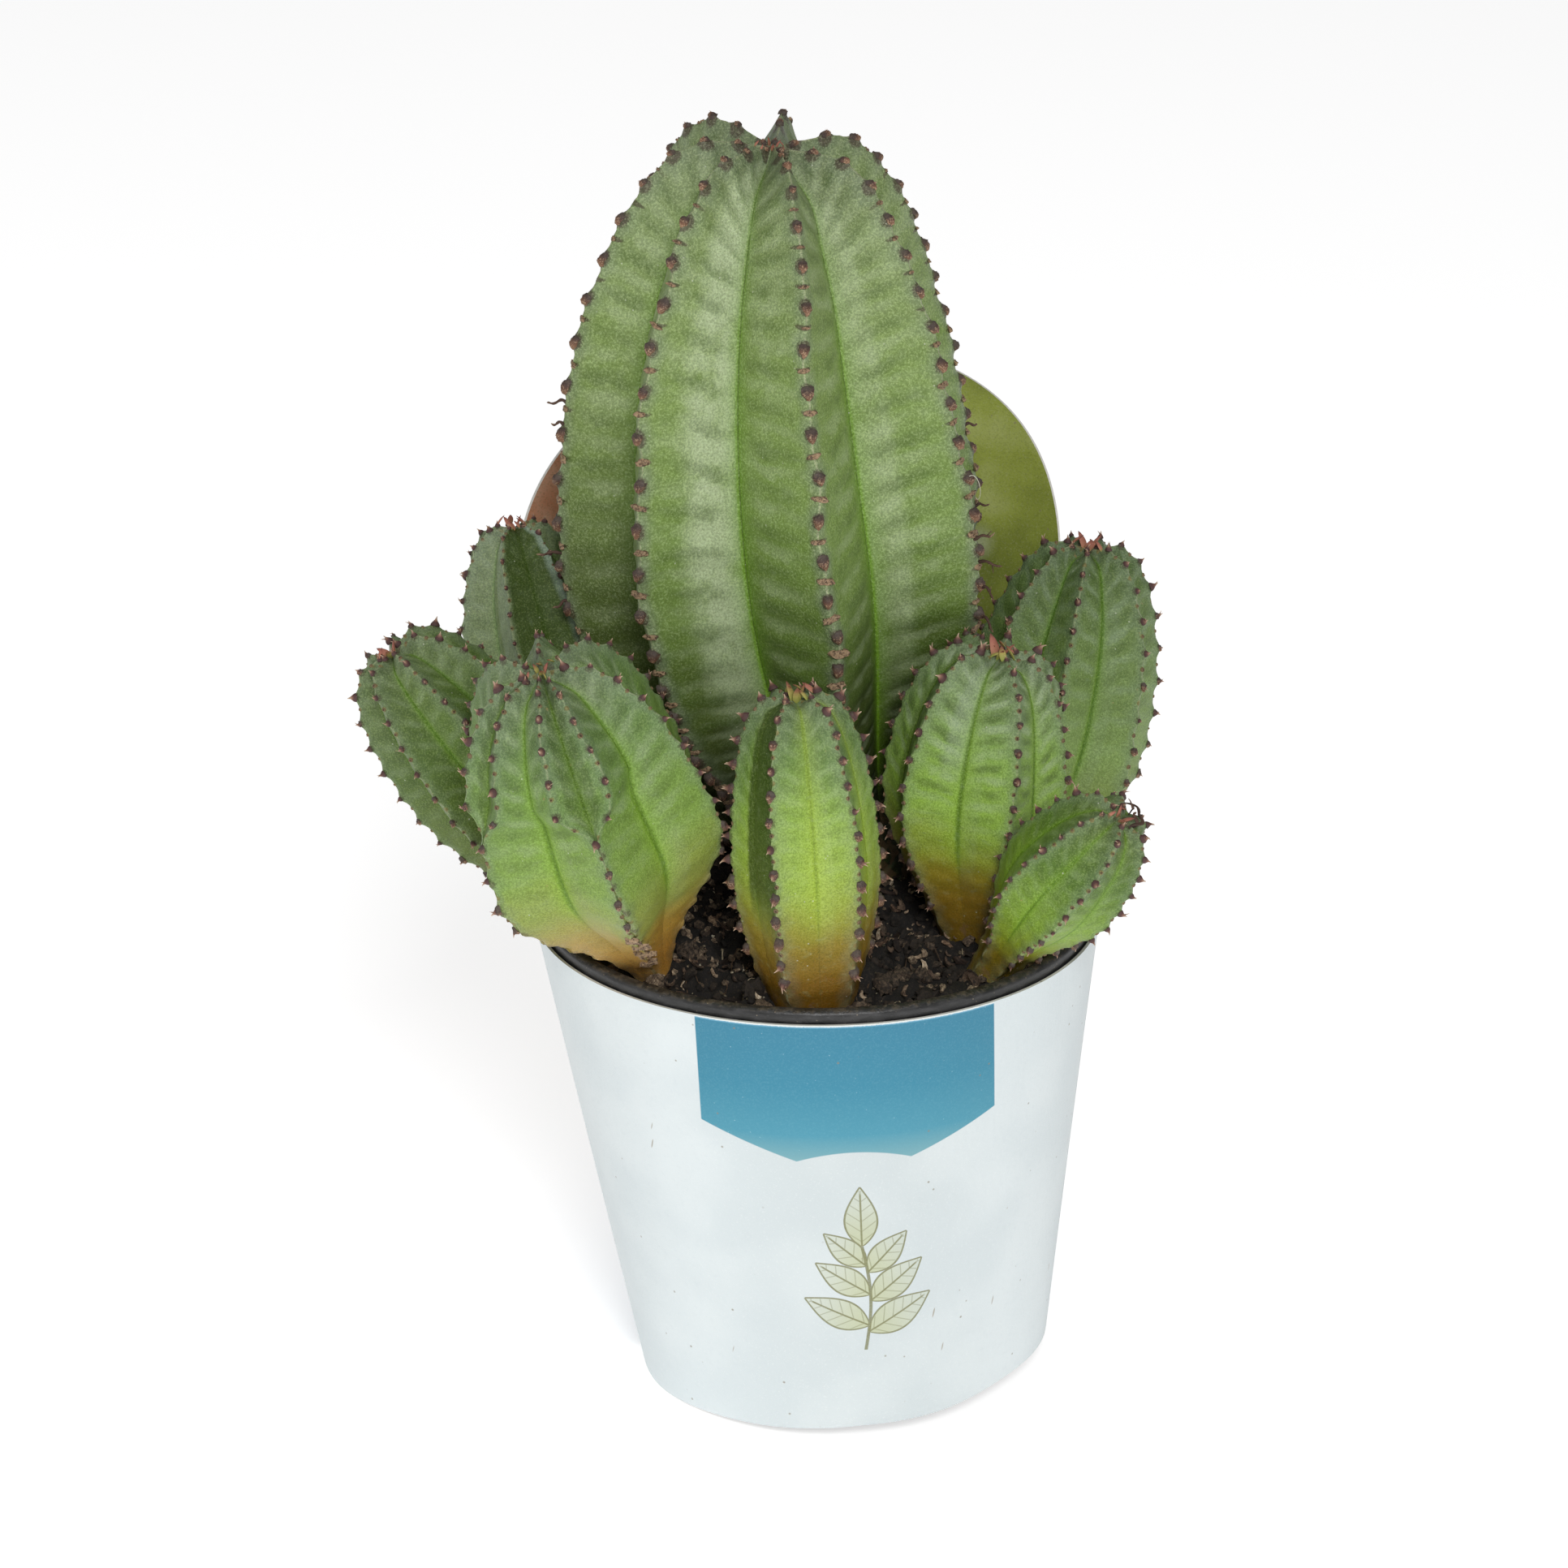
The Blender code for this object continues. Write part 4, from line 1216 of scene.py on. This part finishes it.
def make_crumbs(finish):
    """Bark chips, curled scales, crumbs of peat, pale grit and fine roots that lie on the mix."""
    own = np.random.default_rng(41)
    joined = Joined()

    def somewhere(spare, widest=41.6):
        """A place on the mix that is clear of the stems."""
        while True:
            radius, turn = widest * np.sqrt(own.uniform()), own.uniform(0, 2 * pi)
            x, y = radius * np.cos(turn), radius * np.sin(turn)
            if clear_of_stems(x, y, spare):
                return x, y

    def drawn_in(points, reach):
        """The points, none of them further out than reach."""
        out = np.hypot(points[..., 0], points[..., 1])
        points[..., :2] *= np.minimum(1.0, reach / np.maximum(out, 1e-6))[..., None]
        return points

    def lump(length, width, height, kind, sides=8, rows=5, curl=0.0, tilt=0.5, lift=0.3):
        """One rough piece. Curl bends its ends up, and lift raises it, in shares of its height."""
        x, y = somewhere(0.2 * length)
        normal = unit(np.array([own.normal(0, tilt), own.normal(0, tilt), 1.0]))
        along = unit(np.cross(normal, own.normal(0, 1, 3)))
        across = np.cross(normal, along)
        cosine, sine = ellipse(sides)
        rings = []
        for row in range(rows):
            share = (row + 0.35) / (rows - 0.3)
            swell = np.sin(pi * min(max(share, 0.06), 0.94)) ** 0.45
            rough = 1 + own.normal(0, 0.26, sides)
            place = (share - 0.5) * length
            aside = cosine * rough * width / 2 * swell
            bent = curl * (place / length * 2) ** 2
            above = sine * rough * height / 2 * swell + bent + curl * cosine**2 * 0.8
            rings.append(along * place + across * aside[:, None] + normal * above[:, None])
        rings = np.array(rings) + (x, y, float(mix_surface(x, y)) + lift * height)
        joined.loft(drawn_in(rings, MIX_RADIUS - 0.1), (kind, own.uniform(), own.uniform()))

    for _ in range(70):  # clods of peat
        long = own.uniform(2.4, 4.6)
        width, height = long * own.uniform(0.6, 0.9), long * own.uniform(0.5, 0.8)
        lump(long, width, height, PEAT, sides=13, rows=9, curl=own.uniform(-0.4, 0.4))
    for _ in range(1350):  # crumbs of peat
        long = 0.6 + 1.9 * own.uniform() ** 2
        lump(long, long * own.uniform(0.6, 0.9), long * own.uniform(0.5, 0.8), PEAT, sides=7, rows=4)
    for _ in range(190):  # bark chips
        long = own.uniform(1.3, 3.6)
        lump(long, long * own.uniform(0.35, 0.7), own.uniform(0.35, 0.9), BARK, curl=own.uniform(-0.3, 0.5))
    for _ in range(420):  # curled scales and splinters
        long = 0.8 + 2.4 * own.uniform() ** 2
        width, curl = long * own.uniform(0.2, 0.5), own.uniform(0.2, 0.45) * long
        lump(long, width, 0.14, SCALE, sides=7, rows=6, curl=curl, tilt=1.2, lift=4.0)
    for _ in range(420):  # grit
        long = own.uniform(0.25, 0.75)
        lump(long, long * 0.8, long * 0.7, GRIT, sides=6, rows=3, lift=1.0)
    for _ in range(90):  # fine roots and fibres
        x, y = somewhere(0.4, 40.5)
        steps = np.linspace(0, 1, 9)
        reach, turn = own.uniform(1.5, 5.0), own.uniform(0, 2 * pi)
        arch, bend = own.uniform(0.1, 1.2), own.uniform(-1.6, 1.6)
        turn = turn + bend * steps
        path = np.stack([x + reach * steps * np.cos(turn), y + reach * steps * np.sin(turn)], -1)
        path = drawn_in(path, 41.5)
        height = mix_surface(path[:, 0], path[:, 1]) + 0.2 + arch * np.sin(pi * steps)
        joined.tube(np.column_stack([path, height]), own.uniform(0.05, 0.14), ROOT, own.uniform(), sides=5)
    joined.finish("bark_and_grit", finish, "peat_mix", crease=35)


def mix_finish(name, loose):
    """Damp peat and bark: nearly black, with brown bark, tan scales and pale grit. Under the loose pieces the
    surface is near black, partly dark peat and partly painted shade in the hollows between them.
    """
    finish = Finish(name, 0.85)
    fine = finish.noise(2.4, 4.0, rough=0.7)
    coarse = finish.noise(0.5, 3.0)
    if loose:
        kind, own, other = finish.written("growth")
        tone = own * 0.8 + 0.05 + (fine - 0.5) * 1.3
        crumb = finish.ramp(
            tone,
            (0.0, (0.004, 0.003, 0.002)), (0.5, (0.036, 0.025, 0.017)), (0.8, (0.15, 0.105, 0.068)),
            (1.0, (0.5, 0.39, 0.26)),
        )
        bark = finish.ramp(
            tone,
            (0.0, (0.01, 0.006, 0.004)), (0.5, (0.045, 0.026, 0.017)), (0.8, (0.15, 0.09, 0.055)),
            (1.0, (0.4, 0.28, 0.18)),
        )
        scale = finish.ramp(
            tone,
            (0.0, (0.02, 0.012, 0.008)), (0.5, (0.16, 0.105, 0.068)), (0.8, (0.44, 0.33, 0.22)),
            (1.0, (0.76, 0.65, 0.5)),
        )
        grit = finish.ramp(
            tone,
            (0.0, (0.05, 0.04, 0.025)), (0.5, (0.2, 0.16, 0.1)), (0.85, (0.45, 0.4, 0.28)),
            (1.0, (0.7, 0.66, 0.55)),
        )
        root = finish.ramp(
            other + (fine - 0.5) * 0.6,
            (0.0, (0.03, 0.018, 0.01)), (0.6, (0.12, 0.07, 0.035)), (1.0, (0.5, 0.42, 0.28)),
        )
        kinds = (kind.reaches(BARK), bark), (kind.reaches(SCALE), scale), (kind.reaches(GRIT), grit)
        color = finish.cover(crumb, *kinds, (own.reaches(ROOT), root))
    else:
        # Near black: dark peat, and painted shade in the hollows between the loose pieces
        color = finish.ramp(
            fine * 0.7 + coarse * 0.3,
            (0.3, (0.002, 0.0015, 0.001)), (0.52, (0.008, 0.006, 0.0045)), (0.62, (0.03, 0.022, 0.015)),
            (0.74, (0.16, 0.12, 0.075)),
        )
    finish.link(Base_Color=color, Roughness=0.72 + fine * 0.25)
    finish.bump(fine * 0.7 + coarse * 0.5, 0.35)
    return finish


# Pot


def turned_piece(name, profile, finish, stands_for, sides=200):
    """A piece turned from a profile of (radius, height) points in millimetres."""
    turn = np.arange(sides) * 2 * pi / sides
    rings = np.array([[(r * cos(a), r * sin(a), z) for a in turn] for r, z in profile])
    joined = Joined()
    joined.loft(rings[::-1], (0, 0, 0))
    return new_piece(name, np.concatenate(joined.points), joined.faces, finish, stands_for, crease=50)


def make_pot(finish):
    """Thin black pot with a rolled rim, a shoulder below it and drain holes."""
    high, rim, lip, drop = POT_HEIGHT / MM, POT_RIM_RADIUS / MM, POT_LIP_WIDTH / MM, POT_LIP_HEIGHT / MM
    neck, base, wall = POT_SHOULDER_RADIUS / MM, POT_BASE_RADIUS / MM, POT_WALL / MM
    shoulder = high - drop
    slope = (neck - base) / shoulder
    taper = (SLEEVE_TOP_RADIUS - SLEEVE_BOTTOM_RADIUS) / SLEEVE_TOP
    foot_of_lip = (SLEEVE_TOP_RADIUS - CARD - GAP) / MM - drop * taper
    inside, floor = rim - lip, base - wall
    profile = [(0.5, wall), (floor - 0.8, wall), (floor, wall + 0.8)]
    profile += [(floor + slope * z, z) for z in np.linspace(4, shoulder - 0.4, 12)]
    profile += [(inside - 0.15, shoulder + 0.5), (inside, shoulder + 1.6), (inside, high - 1.2)]
    profile += [(inside + 1.3 - 1.3 * cos(t), high - 1.2 + 1.2 * sin(t)) for t in np.linspace(0.3, pi / 2, 6)]
    profile += [(rim - 0.9 + 0.9 * sin(t), high - 0.9 + 0.9 * cos(t)) for t in np.linspace(0.2, pi / 2, 6)]
    profile += [(rim - 0.02, high - 2.0), (foot_of_lip + 0.1, shoulder + 0.3), (foot_of_lip - 0.3, shoulder)]
    profile += [(neck, shoulder - 0.5), (neck - 0.1, shoulder - 1.4)]
    profile += [(base + slope * z, z) for z in np.linspace(shoulder - 4, 3, 12)]
    profile += [(base - 0.1, 0.6), (base - 0.6, 0.0), (base - 2.2, 0.0), (base - 2.8, 0.35), (0.5, 0.35)]
    pot = turned_piece("turned_pot", profile, finish, ("nursery_pot",))
    drills = bpy.data.collections.new("drain_drills")
    bpy.context.scene.collection.children.link(drills)
    for index in range(DRAIN_HOLES):
        angle = 2 * pi * index / DRAIN_HOLES
        mesh = bpy.data.meshes.new("drain_drill")
        bm = bmesh.new()
        bmesh.ops.create_cone(
            bm, cap_ends=True, segments=28, radius1=DRAIN_RADIUS, radius2=DRAIN_RADIUS, depth=6 * POT_WALL
        )
        bm.to_mesh(mesh)
        bm.free()
        drill = bpy.data.objects.new("drain_drill", mesh)
        drill.location = (DRAIN_RING_RADIUS * cos(angle), DRAIN_RING_RADIUS * sin(angle), 0.0)
        drills.objects.link(drill)
    drilling = pot.modifiers.new("Drains", "BOOLEAN")
    drilling.operation, drilling.operand_type, drilling.collection = "DIFFERENCE", "COLLECTION", drills
    drilled = bpy.data.meshes.new_from_object(pot.evaluated_get(bpy.context.evaluated_depsgraph_get()))
    pot.modifiers.remove(drilling)
    pot.data = drilled
    for drill in list(drills.objects):
        bpy.data.objects.remove(drill, do_unlink=True)
    bpy.data.collections.remove(drills)


def pot_finish():
    """Black recycled plastic: satin, with faint flow marks and scuffs, and dust and crumbs on its rim."""
    finish = Finish("black_pot_plastic", 0.4)
    height = finish.parts(finish.place())[2]
    upward = finish.parts(finish.node("NewGeometry", {}, output=1))[2]
    smear = finish.noise(0.35, 3.0, stretch=(1, 1, 3.5))
    fine = finish.noise(2.8, 3.0, rough=0.65)
    dirt = finish.noise(0.8, 4.0, rough=0.7)
    dust = upward.rise(0.35, 0.95) * dirt.rise(0.42, 0.66) * height.rise(79.5, 80.5)
    specks = finish.cells(1.3).rise(0.16, 0.08) * dirt.rise(0.5, 0.6) * height.rise(76.0, 78.0)
    scuff = finish.noise(1.1, 2.0, stretch=(1, 1, 9)).rise(0.64, 0.76)
    color = finish.cover(
        (0.016, 0.016, 0.016),
        (smear.rise(0.35, 0.75), (0.042, 0.041, 0.042)),
        (dust * 0.75, (0.11, 0.085, 0.055)),
        (specks * 0.8, (0.34, 0.27, 0.18)),
        (scuff * 0.35, (0.16, 0.16, 0.165)),
    )
    finish.link(Base_Color=color, Roughness=0.3 + smear * 0.2 + dust * 0.4 + scuff * 0.15)
    finish.bump(smear * 0.6 + fine * 0.25 + dust * 0.8, 0.14)
    return finish


# Card sleeve


def sleeve_bottom_height(azimuth):
    """Height of the card's lower edge, which lies tipped."""
    return SLEEVE_BOTTOM_HEIGHT + SLEEVE_BOTTOM_RADIUS * cos(azimuth) * tan(radians(SLEEVE_BOTTOM_TIP))


def header_height(share):
    """How far the header rises, at a share of its half width. The share is negative on its right."""
    top, side = HEADER_ROUNDNESS
    return HEADER_RISE * (1 - HEADER_SLANT * share) * max(1 - abs(share) ** top, 0.0) ** (1 / side)


WAVES = (3, 0.35, 0.6), (5, 0.28, 2.2), (8, 0.14, 4.0)  # of the lower edge: turns round it, size, phase
DEEPEST_WAVE = 0.0006  # they reach no further down than this
HEADER_BEND = 0.002  # how softly the header starts to lean out
CARD_COLUMNS, CARD_ROWS = 260, 90
FRONT, SEAM = -84.0, 148.0  # azimuth of the middle of the printed front, and the seam's turn from it
PANEL_HALF, PANEL_STEP = 24.75, 9.2  # half widths of the blue panel and of the hollow in its foot


def card_point(across, up, inset):
    """A point of the card: across runs from -2 to 2, with the header inside 1, and up from 0 to 1."""
    half = radians(HEADER_HALF_ANGLE)
    rise = 0.0
    if abs(across) < 1:
        turn = half * sin(pi / 2 * across)
        rise = header_height(turn / half)
    else:
        turn = half + (pi - half) * (abs(across) - 1)
        turn = turn if across > 0 else -turn
    azimuth = radians(HEADER_AZIMUTH) + turn
    low = sleeve_bottom_height(azimuth)
    height = low + (SLEEVE_TOP - low + rise) * up
    share = (min(height, SLEEVE_TOP) - low) / (SLEEVE_TOP - low)
    radius = SLEEVE_BOTTOM_RADIUS + (SLEEVE_TOP_RADIUS - SLEEVE_BOTTOM_RADIUS) * share
    above = max(height - SLEEVE_TOP, 0.0)
    radius += HEADER_LEAN * above**2 / (above + HEADER_BEND) - inset
    loose = (1 - share) ** 2 * MM
    radius += sum(size * loose * sin(turns * azimuth + phase) for turns, size, phase in WAVES)
    wave = -sum(size * loose * cos(turns * azimuth * 0.5 + phase) for turns, size, phase in WAVES) * 0.6
    aside = SLEEVE_BOTTOM_SHIFT * (1 - share)
    point = (aside + radius * cos(azimuth), radius * sin(azimuth), height + max(wave, -DEEPEST_WAVE))
    return point, azimuth, height


def make_sleeve(finish):
    """The card as two printed faces with its cut edge between them."""
    points, notes = [], []
    for layer, inset in enumerate((0.0, CARD)):
        for row in range(CARD_ROWS + 1):
            for column in range(CARD_COLUMNS):
                across = -2 + 4 * column / CARD_COLUMNS
                point, azimuth, height = card_point(across, row / CARD_ROWS, inset)
                turn = (np.degrees(azimuth) - FRONT + 180) % 360 - 180
                points.append(point)
                notes.append((turn, height / MM, float(layer)))
    per_layer = (CARD_ROWS + 1) * CARD_COLUMNS
    faces, corner_notes = [], []

    def face(*corners):
        """Adds a face. Its notes don't run back through zero, and those of the cut edge say so."""
        faces.append(corners)
        turns = [notes[corner][0] for corner in corners]
        wrap = max(turns) - min(turns) > 180
        cut = len({notes[corner][2] for corner in corners}) > 1
        for corner in corners:
            turn, height, layer = notes[corner]
            corner_notes.append((turn + 360 if wrap and turn < 0 else turn, height, 0.5 if cut else layer))

    for row in range(CARD_ROWS):
        for column in range(CARD_COLUMNS):
            after = (column + 1) % CARD_COLUMNS
            a, b = row * CARD_COLUMNS + column, row * CARD_COLUMNS + after
            face(a, b, b + CARD_COLUMNS, a + CARD_COLUMNS)
            face(b + per_layer, a + per_layer, a + per_layer + CARD_COLUMNS, b + per_layer + CARD_COLUMNS)
    top = CARD_ROWS * CARD_COLUMNS
    for column in range(CARD_COLUMNS):
        after = (column + 1) % CARD_COLUMNS
        face(after, column, column + per_layer, after + per_layer)
        face(top + column, top + after, top + after + per_layer, top + column + per_layer)
    new_piece(
        "printed_sleeve", np.array(points) / MM, faces, finish, ("paper_sleeve",),
        corner_notes={"card": corner_notes}, crease=50,
    )


def card_finish():
    """Matt board: pale front with a plain blue panel and a leafy sprig, deep blue back, mottled header."""
    finish = Finish("printed_board", 0.5)
    turn, height, layer = finish.written("card")
    top = SLEEVE_TOP / MM
    fine = finish.noise(3.0, 3.0, rough=0.65)
    fibre = finish.noise(0.9, 3.0, rough=0.6)
    cloud = finish.noise(0.05, 2.0)
    radius = height * ((SLEEVE_TOP_RADIUS - SLEEVE_BOTTOM_RADIUS) / SLEEVE_TOP) + SLEEVE_BOTTOM_RADIUS / MM
    x = turn * (pi / 180) * radius
    aside = abs(x)
    white = finish.cover(
        (0.66, 0.72, 0.735),
        (cloud.rise(0.35, 0.7), (0.72, 0.775, 0.785)),
        # Painted shade: the white is a little darker across the middle of the front, where the key light
        # falls most squarely
        (aside.rise(34.0, 4.0) * 0.12, (0.05, 0.06, 0.03)),
        (fine.rise(0.56, 0.72) * 0.35, (0.8, 0.83, 0.83)),
        (fibre.rise(0.5, 0.75) * 0.12, (0.55, 0.61, 0.64)),
    )
    # Plain panel under the rim, with a hollow in its foot and a pale line along its top
    slanted = (aside - PANEL_STEP) * 0.372 + 54.3
    hollow = 56.0 - aside * aside * 0.0201
    step = aside.rise(PANEL_STEP - 0.05, PANEL_STEP + 0.05)
    foot = finish.node("Mix", {"data_type": "FLOAT"}, step, None, hollow, slanted)
    inside = aside.rise(PANEL_HALF + 0.1, PANEL_HALF - 0.1) * (height - foot).rise(-0.1, 0.1)
    panel = finish.ramp(
        (height - 54.0) / 26.0,
        (0.0, (0.19, 0.39, 0.43)), (0.2, (0.06, 0.285, 0.39)), (0.55, (0.032, 0.225, 0.335)),
        (1.0, (0.03, 0.2, 0.31)),
    )
    panel = finish.cover(
        panel,
        (fine.rise(0.45, 0.7) * 0.2, (0.14, 0.38, 0.47)),
        (finish.cells(0.8).rise(0.1, 0.05) * fibre.rise(0.5, 0.6) * 0.5, (0.4, 0.6, 0.66)),
        ((height - (top - 0.6)).rise(0.0, 0.3) * 0.5, (0.3, 0.6, 0.8)),
        ((height - (top - 0.32) + (fine - 0.5) * 0.3).rise(0.0, 0.1), (0.72, 0.76, 0.74)),
    )
    front = sprig(finish, finish.mix(inside, white, panel), x - 0.6, height, fine)
    # Deep blue back with a seam
    back = finish.cover(
        (0.012, 0.07, 0.13),
        (cloud.rise(0.3, 0.7), (0.02, 0.1, 0.17)),
        (fine.rise(0.5, 0.75) * 0.25, (0.08, 0.2, 0.28)),
    )
    edge = height * 0.2 + 50.0 + x.rise(0.0, -1.0) * 6.5
    line = (turn - SEAM).band(0.0, 0.1, 0.2) * 0.5
    outside = finish.cover(front, ((aside - edge).rise(-0.1, 0.1), back), (line, (0.42, 0.5, 0.55)))
    # Header: soft foliage in olive and earth, on both faces above the rim. Its pale soft spots are painted
    # glare, and the earth's near-white blotches are partly print and partly painted glare.
    soft = finish.noise(0.045, 1.0)
    speckle = finish.noise(0.45, 3.0, rough=0.6, stretch=(1.0, 1.0, 0.6))
    spots = finish.noise(0.11, 1.0) + (speckle - 0.5) * 0.22
    leafy = finish.ramp(
        soft * 0.6 + spots * 0.4,
        (0.3, (0.11, 0.135, 0.018)), (0.44, (0.2, 0.235, 0.034)), (0.56, (0.31, 0.36, 0.06)),
        (0.7, (0.44, 0.48, 0.17)),
    )
    earthy = finish.ramp(
        soft * 0.5 + spots * 0.5,
        (0.3, (0.5, 0.15, 0.065)), (0.44, (0.72, 0.28, 0.155)), (0.56, (0.84, 0.48, 0.34)),
        (0.66, (0.92, 0.79, 0.69)),
    )
    weave = finish.noise(2.4, 1.0, stretch=(1.0, 1.0, 1.6))
    sideways = finish.parts(finish.place())[0]
    header = finish.cover(
        earthy,
        (sideways.rise(-22.0, -6.0), leafy),
        # Pale soft spots: painted glare on the printed header
        (finish.cells(0.055).rise(0.24, 0.02) * 0.4, (0.62, 0.66, 0.5)),
        (weave.rise(0.5, 0.7) * 0.22, (0.07, 0.08, 0.02)),
        (fine.rise(0.5, 0.75) * 0.2, (0.6, 0.6, 0.42)),
    )
    # The two faces and the cut edge, then soil marks and scratches on the lower front
    above = (height - (top + 0.2)).rise(0.0, 0.3)
    core = finish.mix(fibre, (0.62, 0.6, 0.55), (0.8, 0.79, 0.75))
    dirt = finish.cells(0.35).rise(0.1, 0.04) * finish.noise(0.12, 2.0).rise(0.5, 0.56)
    scratch = finish.cells(0.3, place=finish.at(x - height * 0.25, height * 0.16, 0.0)).rise(0.055, 0.035)
    color = finish.cover(
        finish.mix(above, outside, header),
        (layer.rise(0.9, 0.95), finish.mix(above, white, header)),
        (layer.band(0.5, 0.1, 0.1), core),
        (dirt * 0.7, (0.24, 0.2, 0.13)),
        (scratch * finish.noise(0.05, 1.0).rise(0.46, 0.52) * 0.75, (0.33, 0.27, 0.2)),
    )
    finish.link(Base_Color=color, Roughness=0.5 + fibre * 0.14 - above * 0.1)
    seam = (turn - SEAM + (fine - 0.5) * 0.2).rise(0.0, 0.12) * layer.rise(0.1, 0.05)
    finish.bump(fine * 0.35 + fibre * 0.9 + seam * 3.0, 0.07)
    return finish


def sprig(finish, under, x, height, fine):
    """A leafy twig in olive line: three pairs of veined leaves and one at its tip."""
    foot, tall = 18.0, 20.0
    share = (height - foot) / tall
    bow = (share * pi).math("SINE") * 1.1
    stalk = abs(x - bow).rise(0.34, 0.2) * share.rise(-0.005, 0.0) * share.rise(1.01, 1.0)
    ink, wash = stalk, None
    leaves = [(38.0, 0.0, 11.5, 2.7)]
    for base, lean, length, half in ((21.5, 58, 12.5, 2.9), (27.5, 50, 11.5, 2.7), (33.0, 42, 10.0, 2.4)):
        leaves += [(base, lean, length, half), (base + 1.2, -lean - 4, length * 0.94, half * 0.95)]
    for base, lean, length, half in leaves:
        root = 1.1 * sin(pi * (base - foot) / tall)
        turn = radians(lean)
        dx, dy = x - root, height - base
        along = (dx * sin(turn) + dy * cos(turn)) / length
        across = abs(dx * cos(turn) - dy * sin(turn))
        shape = (along.most(0.0).least(1.0) ** 0.8 * pi).math("SINE") * half
        zone = along.rise(0.0, 0.015) * along.rise(1.0, 0.985)
        edge = shape - across
        fill = edge.rise(-0.05, 0.1) * zone
        outline = edge.band(0.05, 0.12, 0.08) * zone
        rib = across.rise(0.2, 0.1) * fill * along.rise(0.93, 0.85)
        veins = ((along * length - across * 0.8) % 1.9).band(0.95, 0.05, 0.12)
        veins = veins * fill * edge.rise(0.15, 0.4) * 0.55
        ink = ink.most(outline).most(rib).most(veins)
        tone = fill * (along.rise(1.0, 0.0) * 0.4 + 0.25)
        wash = tone if wash is None else wash.most(tone)
    color = finish.mix(wash, under, (0.45, 0.47, 0.2))
    return finish.mix(ink * (fine * 0.5 + 0.6), color, (0.19, 0.19, 0.075))


# Making it all

teeth_old = tooth_finish("old_scabs", (0.3, 0.19, 0.12), (0.2, 0.12, 0.05), (0.25, 0.1, 0.055))
teeth_young = tooth_finish("young_teeth", (0.36, 0.22, 0.15), (0.28, 0.33, 0.06), (0.42, 0.36, 0.1))
for name, growth in GROWTHS.items():
    teeth, slot = (teeth_old, "main_stem_skin") if growth.stem.tall else (teeth_young, "offset_skin")
    skin_piece(f"{name}_skin", growth, skin_finish(name, growth, LOOKS[name]))
    dress_crests(name, growth, teeth, slot)
make_dry_growths(GROWTHS["main_stem"], GROWTHS["offset_front_right_small"], stalk_finish())
make_mix(mix_finish("dark_peat_and_hollow_shade", False))
make_crumbs(mix_finish("loose_bark", True))
make_pot(pot_finish())
make_sleeve(card_finish())

# Floor, light and camera

MIDDLE = (0.0, 0.0, 0.09)  # where the lamps point
AIM, DISTANCE = Vector((-0.00534, 0.0, 0.1015)), 0.9  # where the camera points, and how far off it is
ELEVATION, FIELD = 22.19, 16.0  # how steeply it looks down, and its angle of view, in degrees


def make_floor():
    """A pale floor, slightly lit from within so that it stays near white."""
    bpy.ops.mesh.primitive_plane_add(size=12.0, location=(0, 0, 0))
    floor = bpy.context.object
    floor.name = "pale_floor"
    finish = Finish("pale_floor_paint", 0.9)
    soft = finish.noise(0.002, 1.0)
    finish.link(Base_Color=finish.mix(soft, (0.93, 0.93, 0.93), (0.95, 0.95, 0.95)))
    finish.settle(Specular_IOR_Level=0.1, Emission_Color=(1, 1, 1, 1), Emission_Strength=0.6)
    floor.data.materials.append(finish.material)


def add_softbox(name, place, size, watts):
    """A round white lamp that faces the middle of the plant."""
    lamp = bpy.data.lights.new(name, "AREA")
    lamp.shape, lamp.size, lamp.energy = "DISK", size, watts
    light = bpy.data.objects.new(name, lamp)
    light.location = place
    light.rotation_euler = (Vector(MIDDLE) - Vector(place)).to_track_quat("-Z", "Y").to_euler()
    bpy.context.scene.collection.objects.link(light)


make_floor()
add_softbox("key_softbox", (0.16, -1.3, 0.98), 0.5, 13.8)
add_softbox("fill_softbox", (-1.2, -0.5, 0.6), 0.9, 1.8)
add_softbox("top_softbox", (-0.2, 0.5, 1.6), 1.2, 2.4)
room = bpy.data.worlds.new("soft_white_room")
room.use_nodes = True
background = room.node_tree.nodes["Background"].inputs
background["Color"].default_value, background["Strength"].default_value = (1.0, 1.0, 1.0, 1.0), 0.2
bpy.context.scene.world = room
bpy.context.scene.view_settings.view_transform = "Standard"

lens = bpy.data.cameras.new("camera")
lens.sensor_width = 36.0
lens.angle = radians(FIELD)
lens.clip_start = 0.01
camera = bpy.data.objects.new("camera", lens)
back = Vector((0.0, -cos(radians(ELEVATION)), sin(radians(ELEVATION))))
camera.location = AIM + back * DISTANCE
camera.rotation_euler = (-back).to_track_quat("-Z", "Y").to_euler()
bpy.context.scene.collection.objects.link(camera)
bpy.context.scene.camera = camera

bpy.context.view_layer.update()
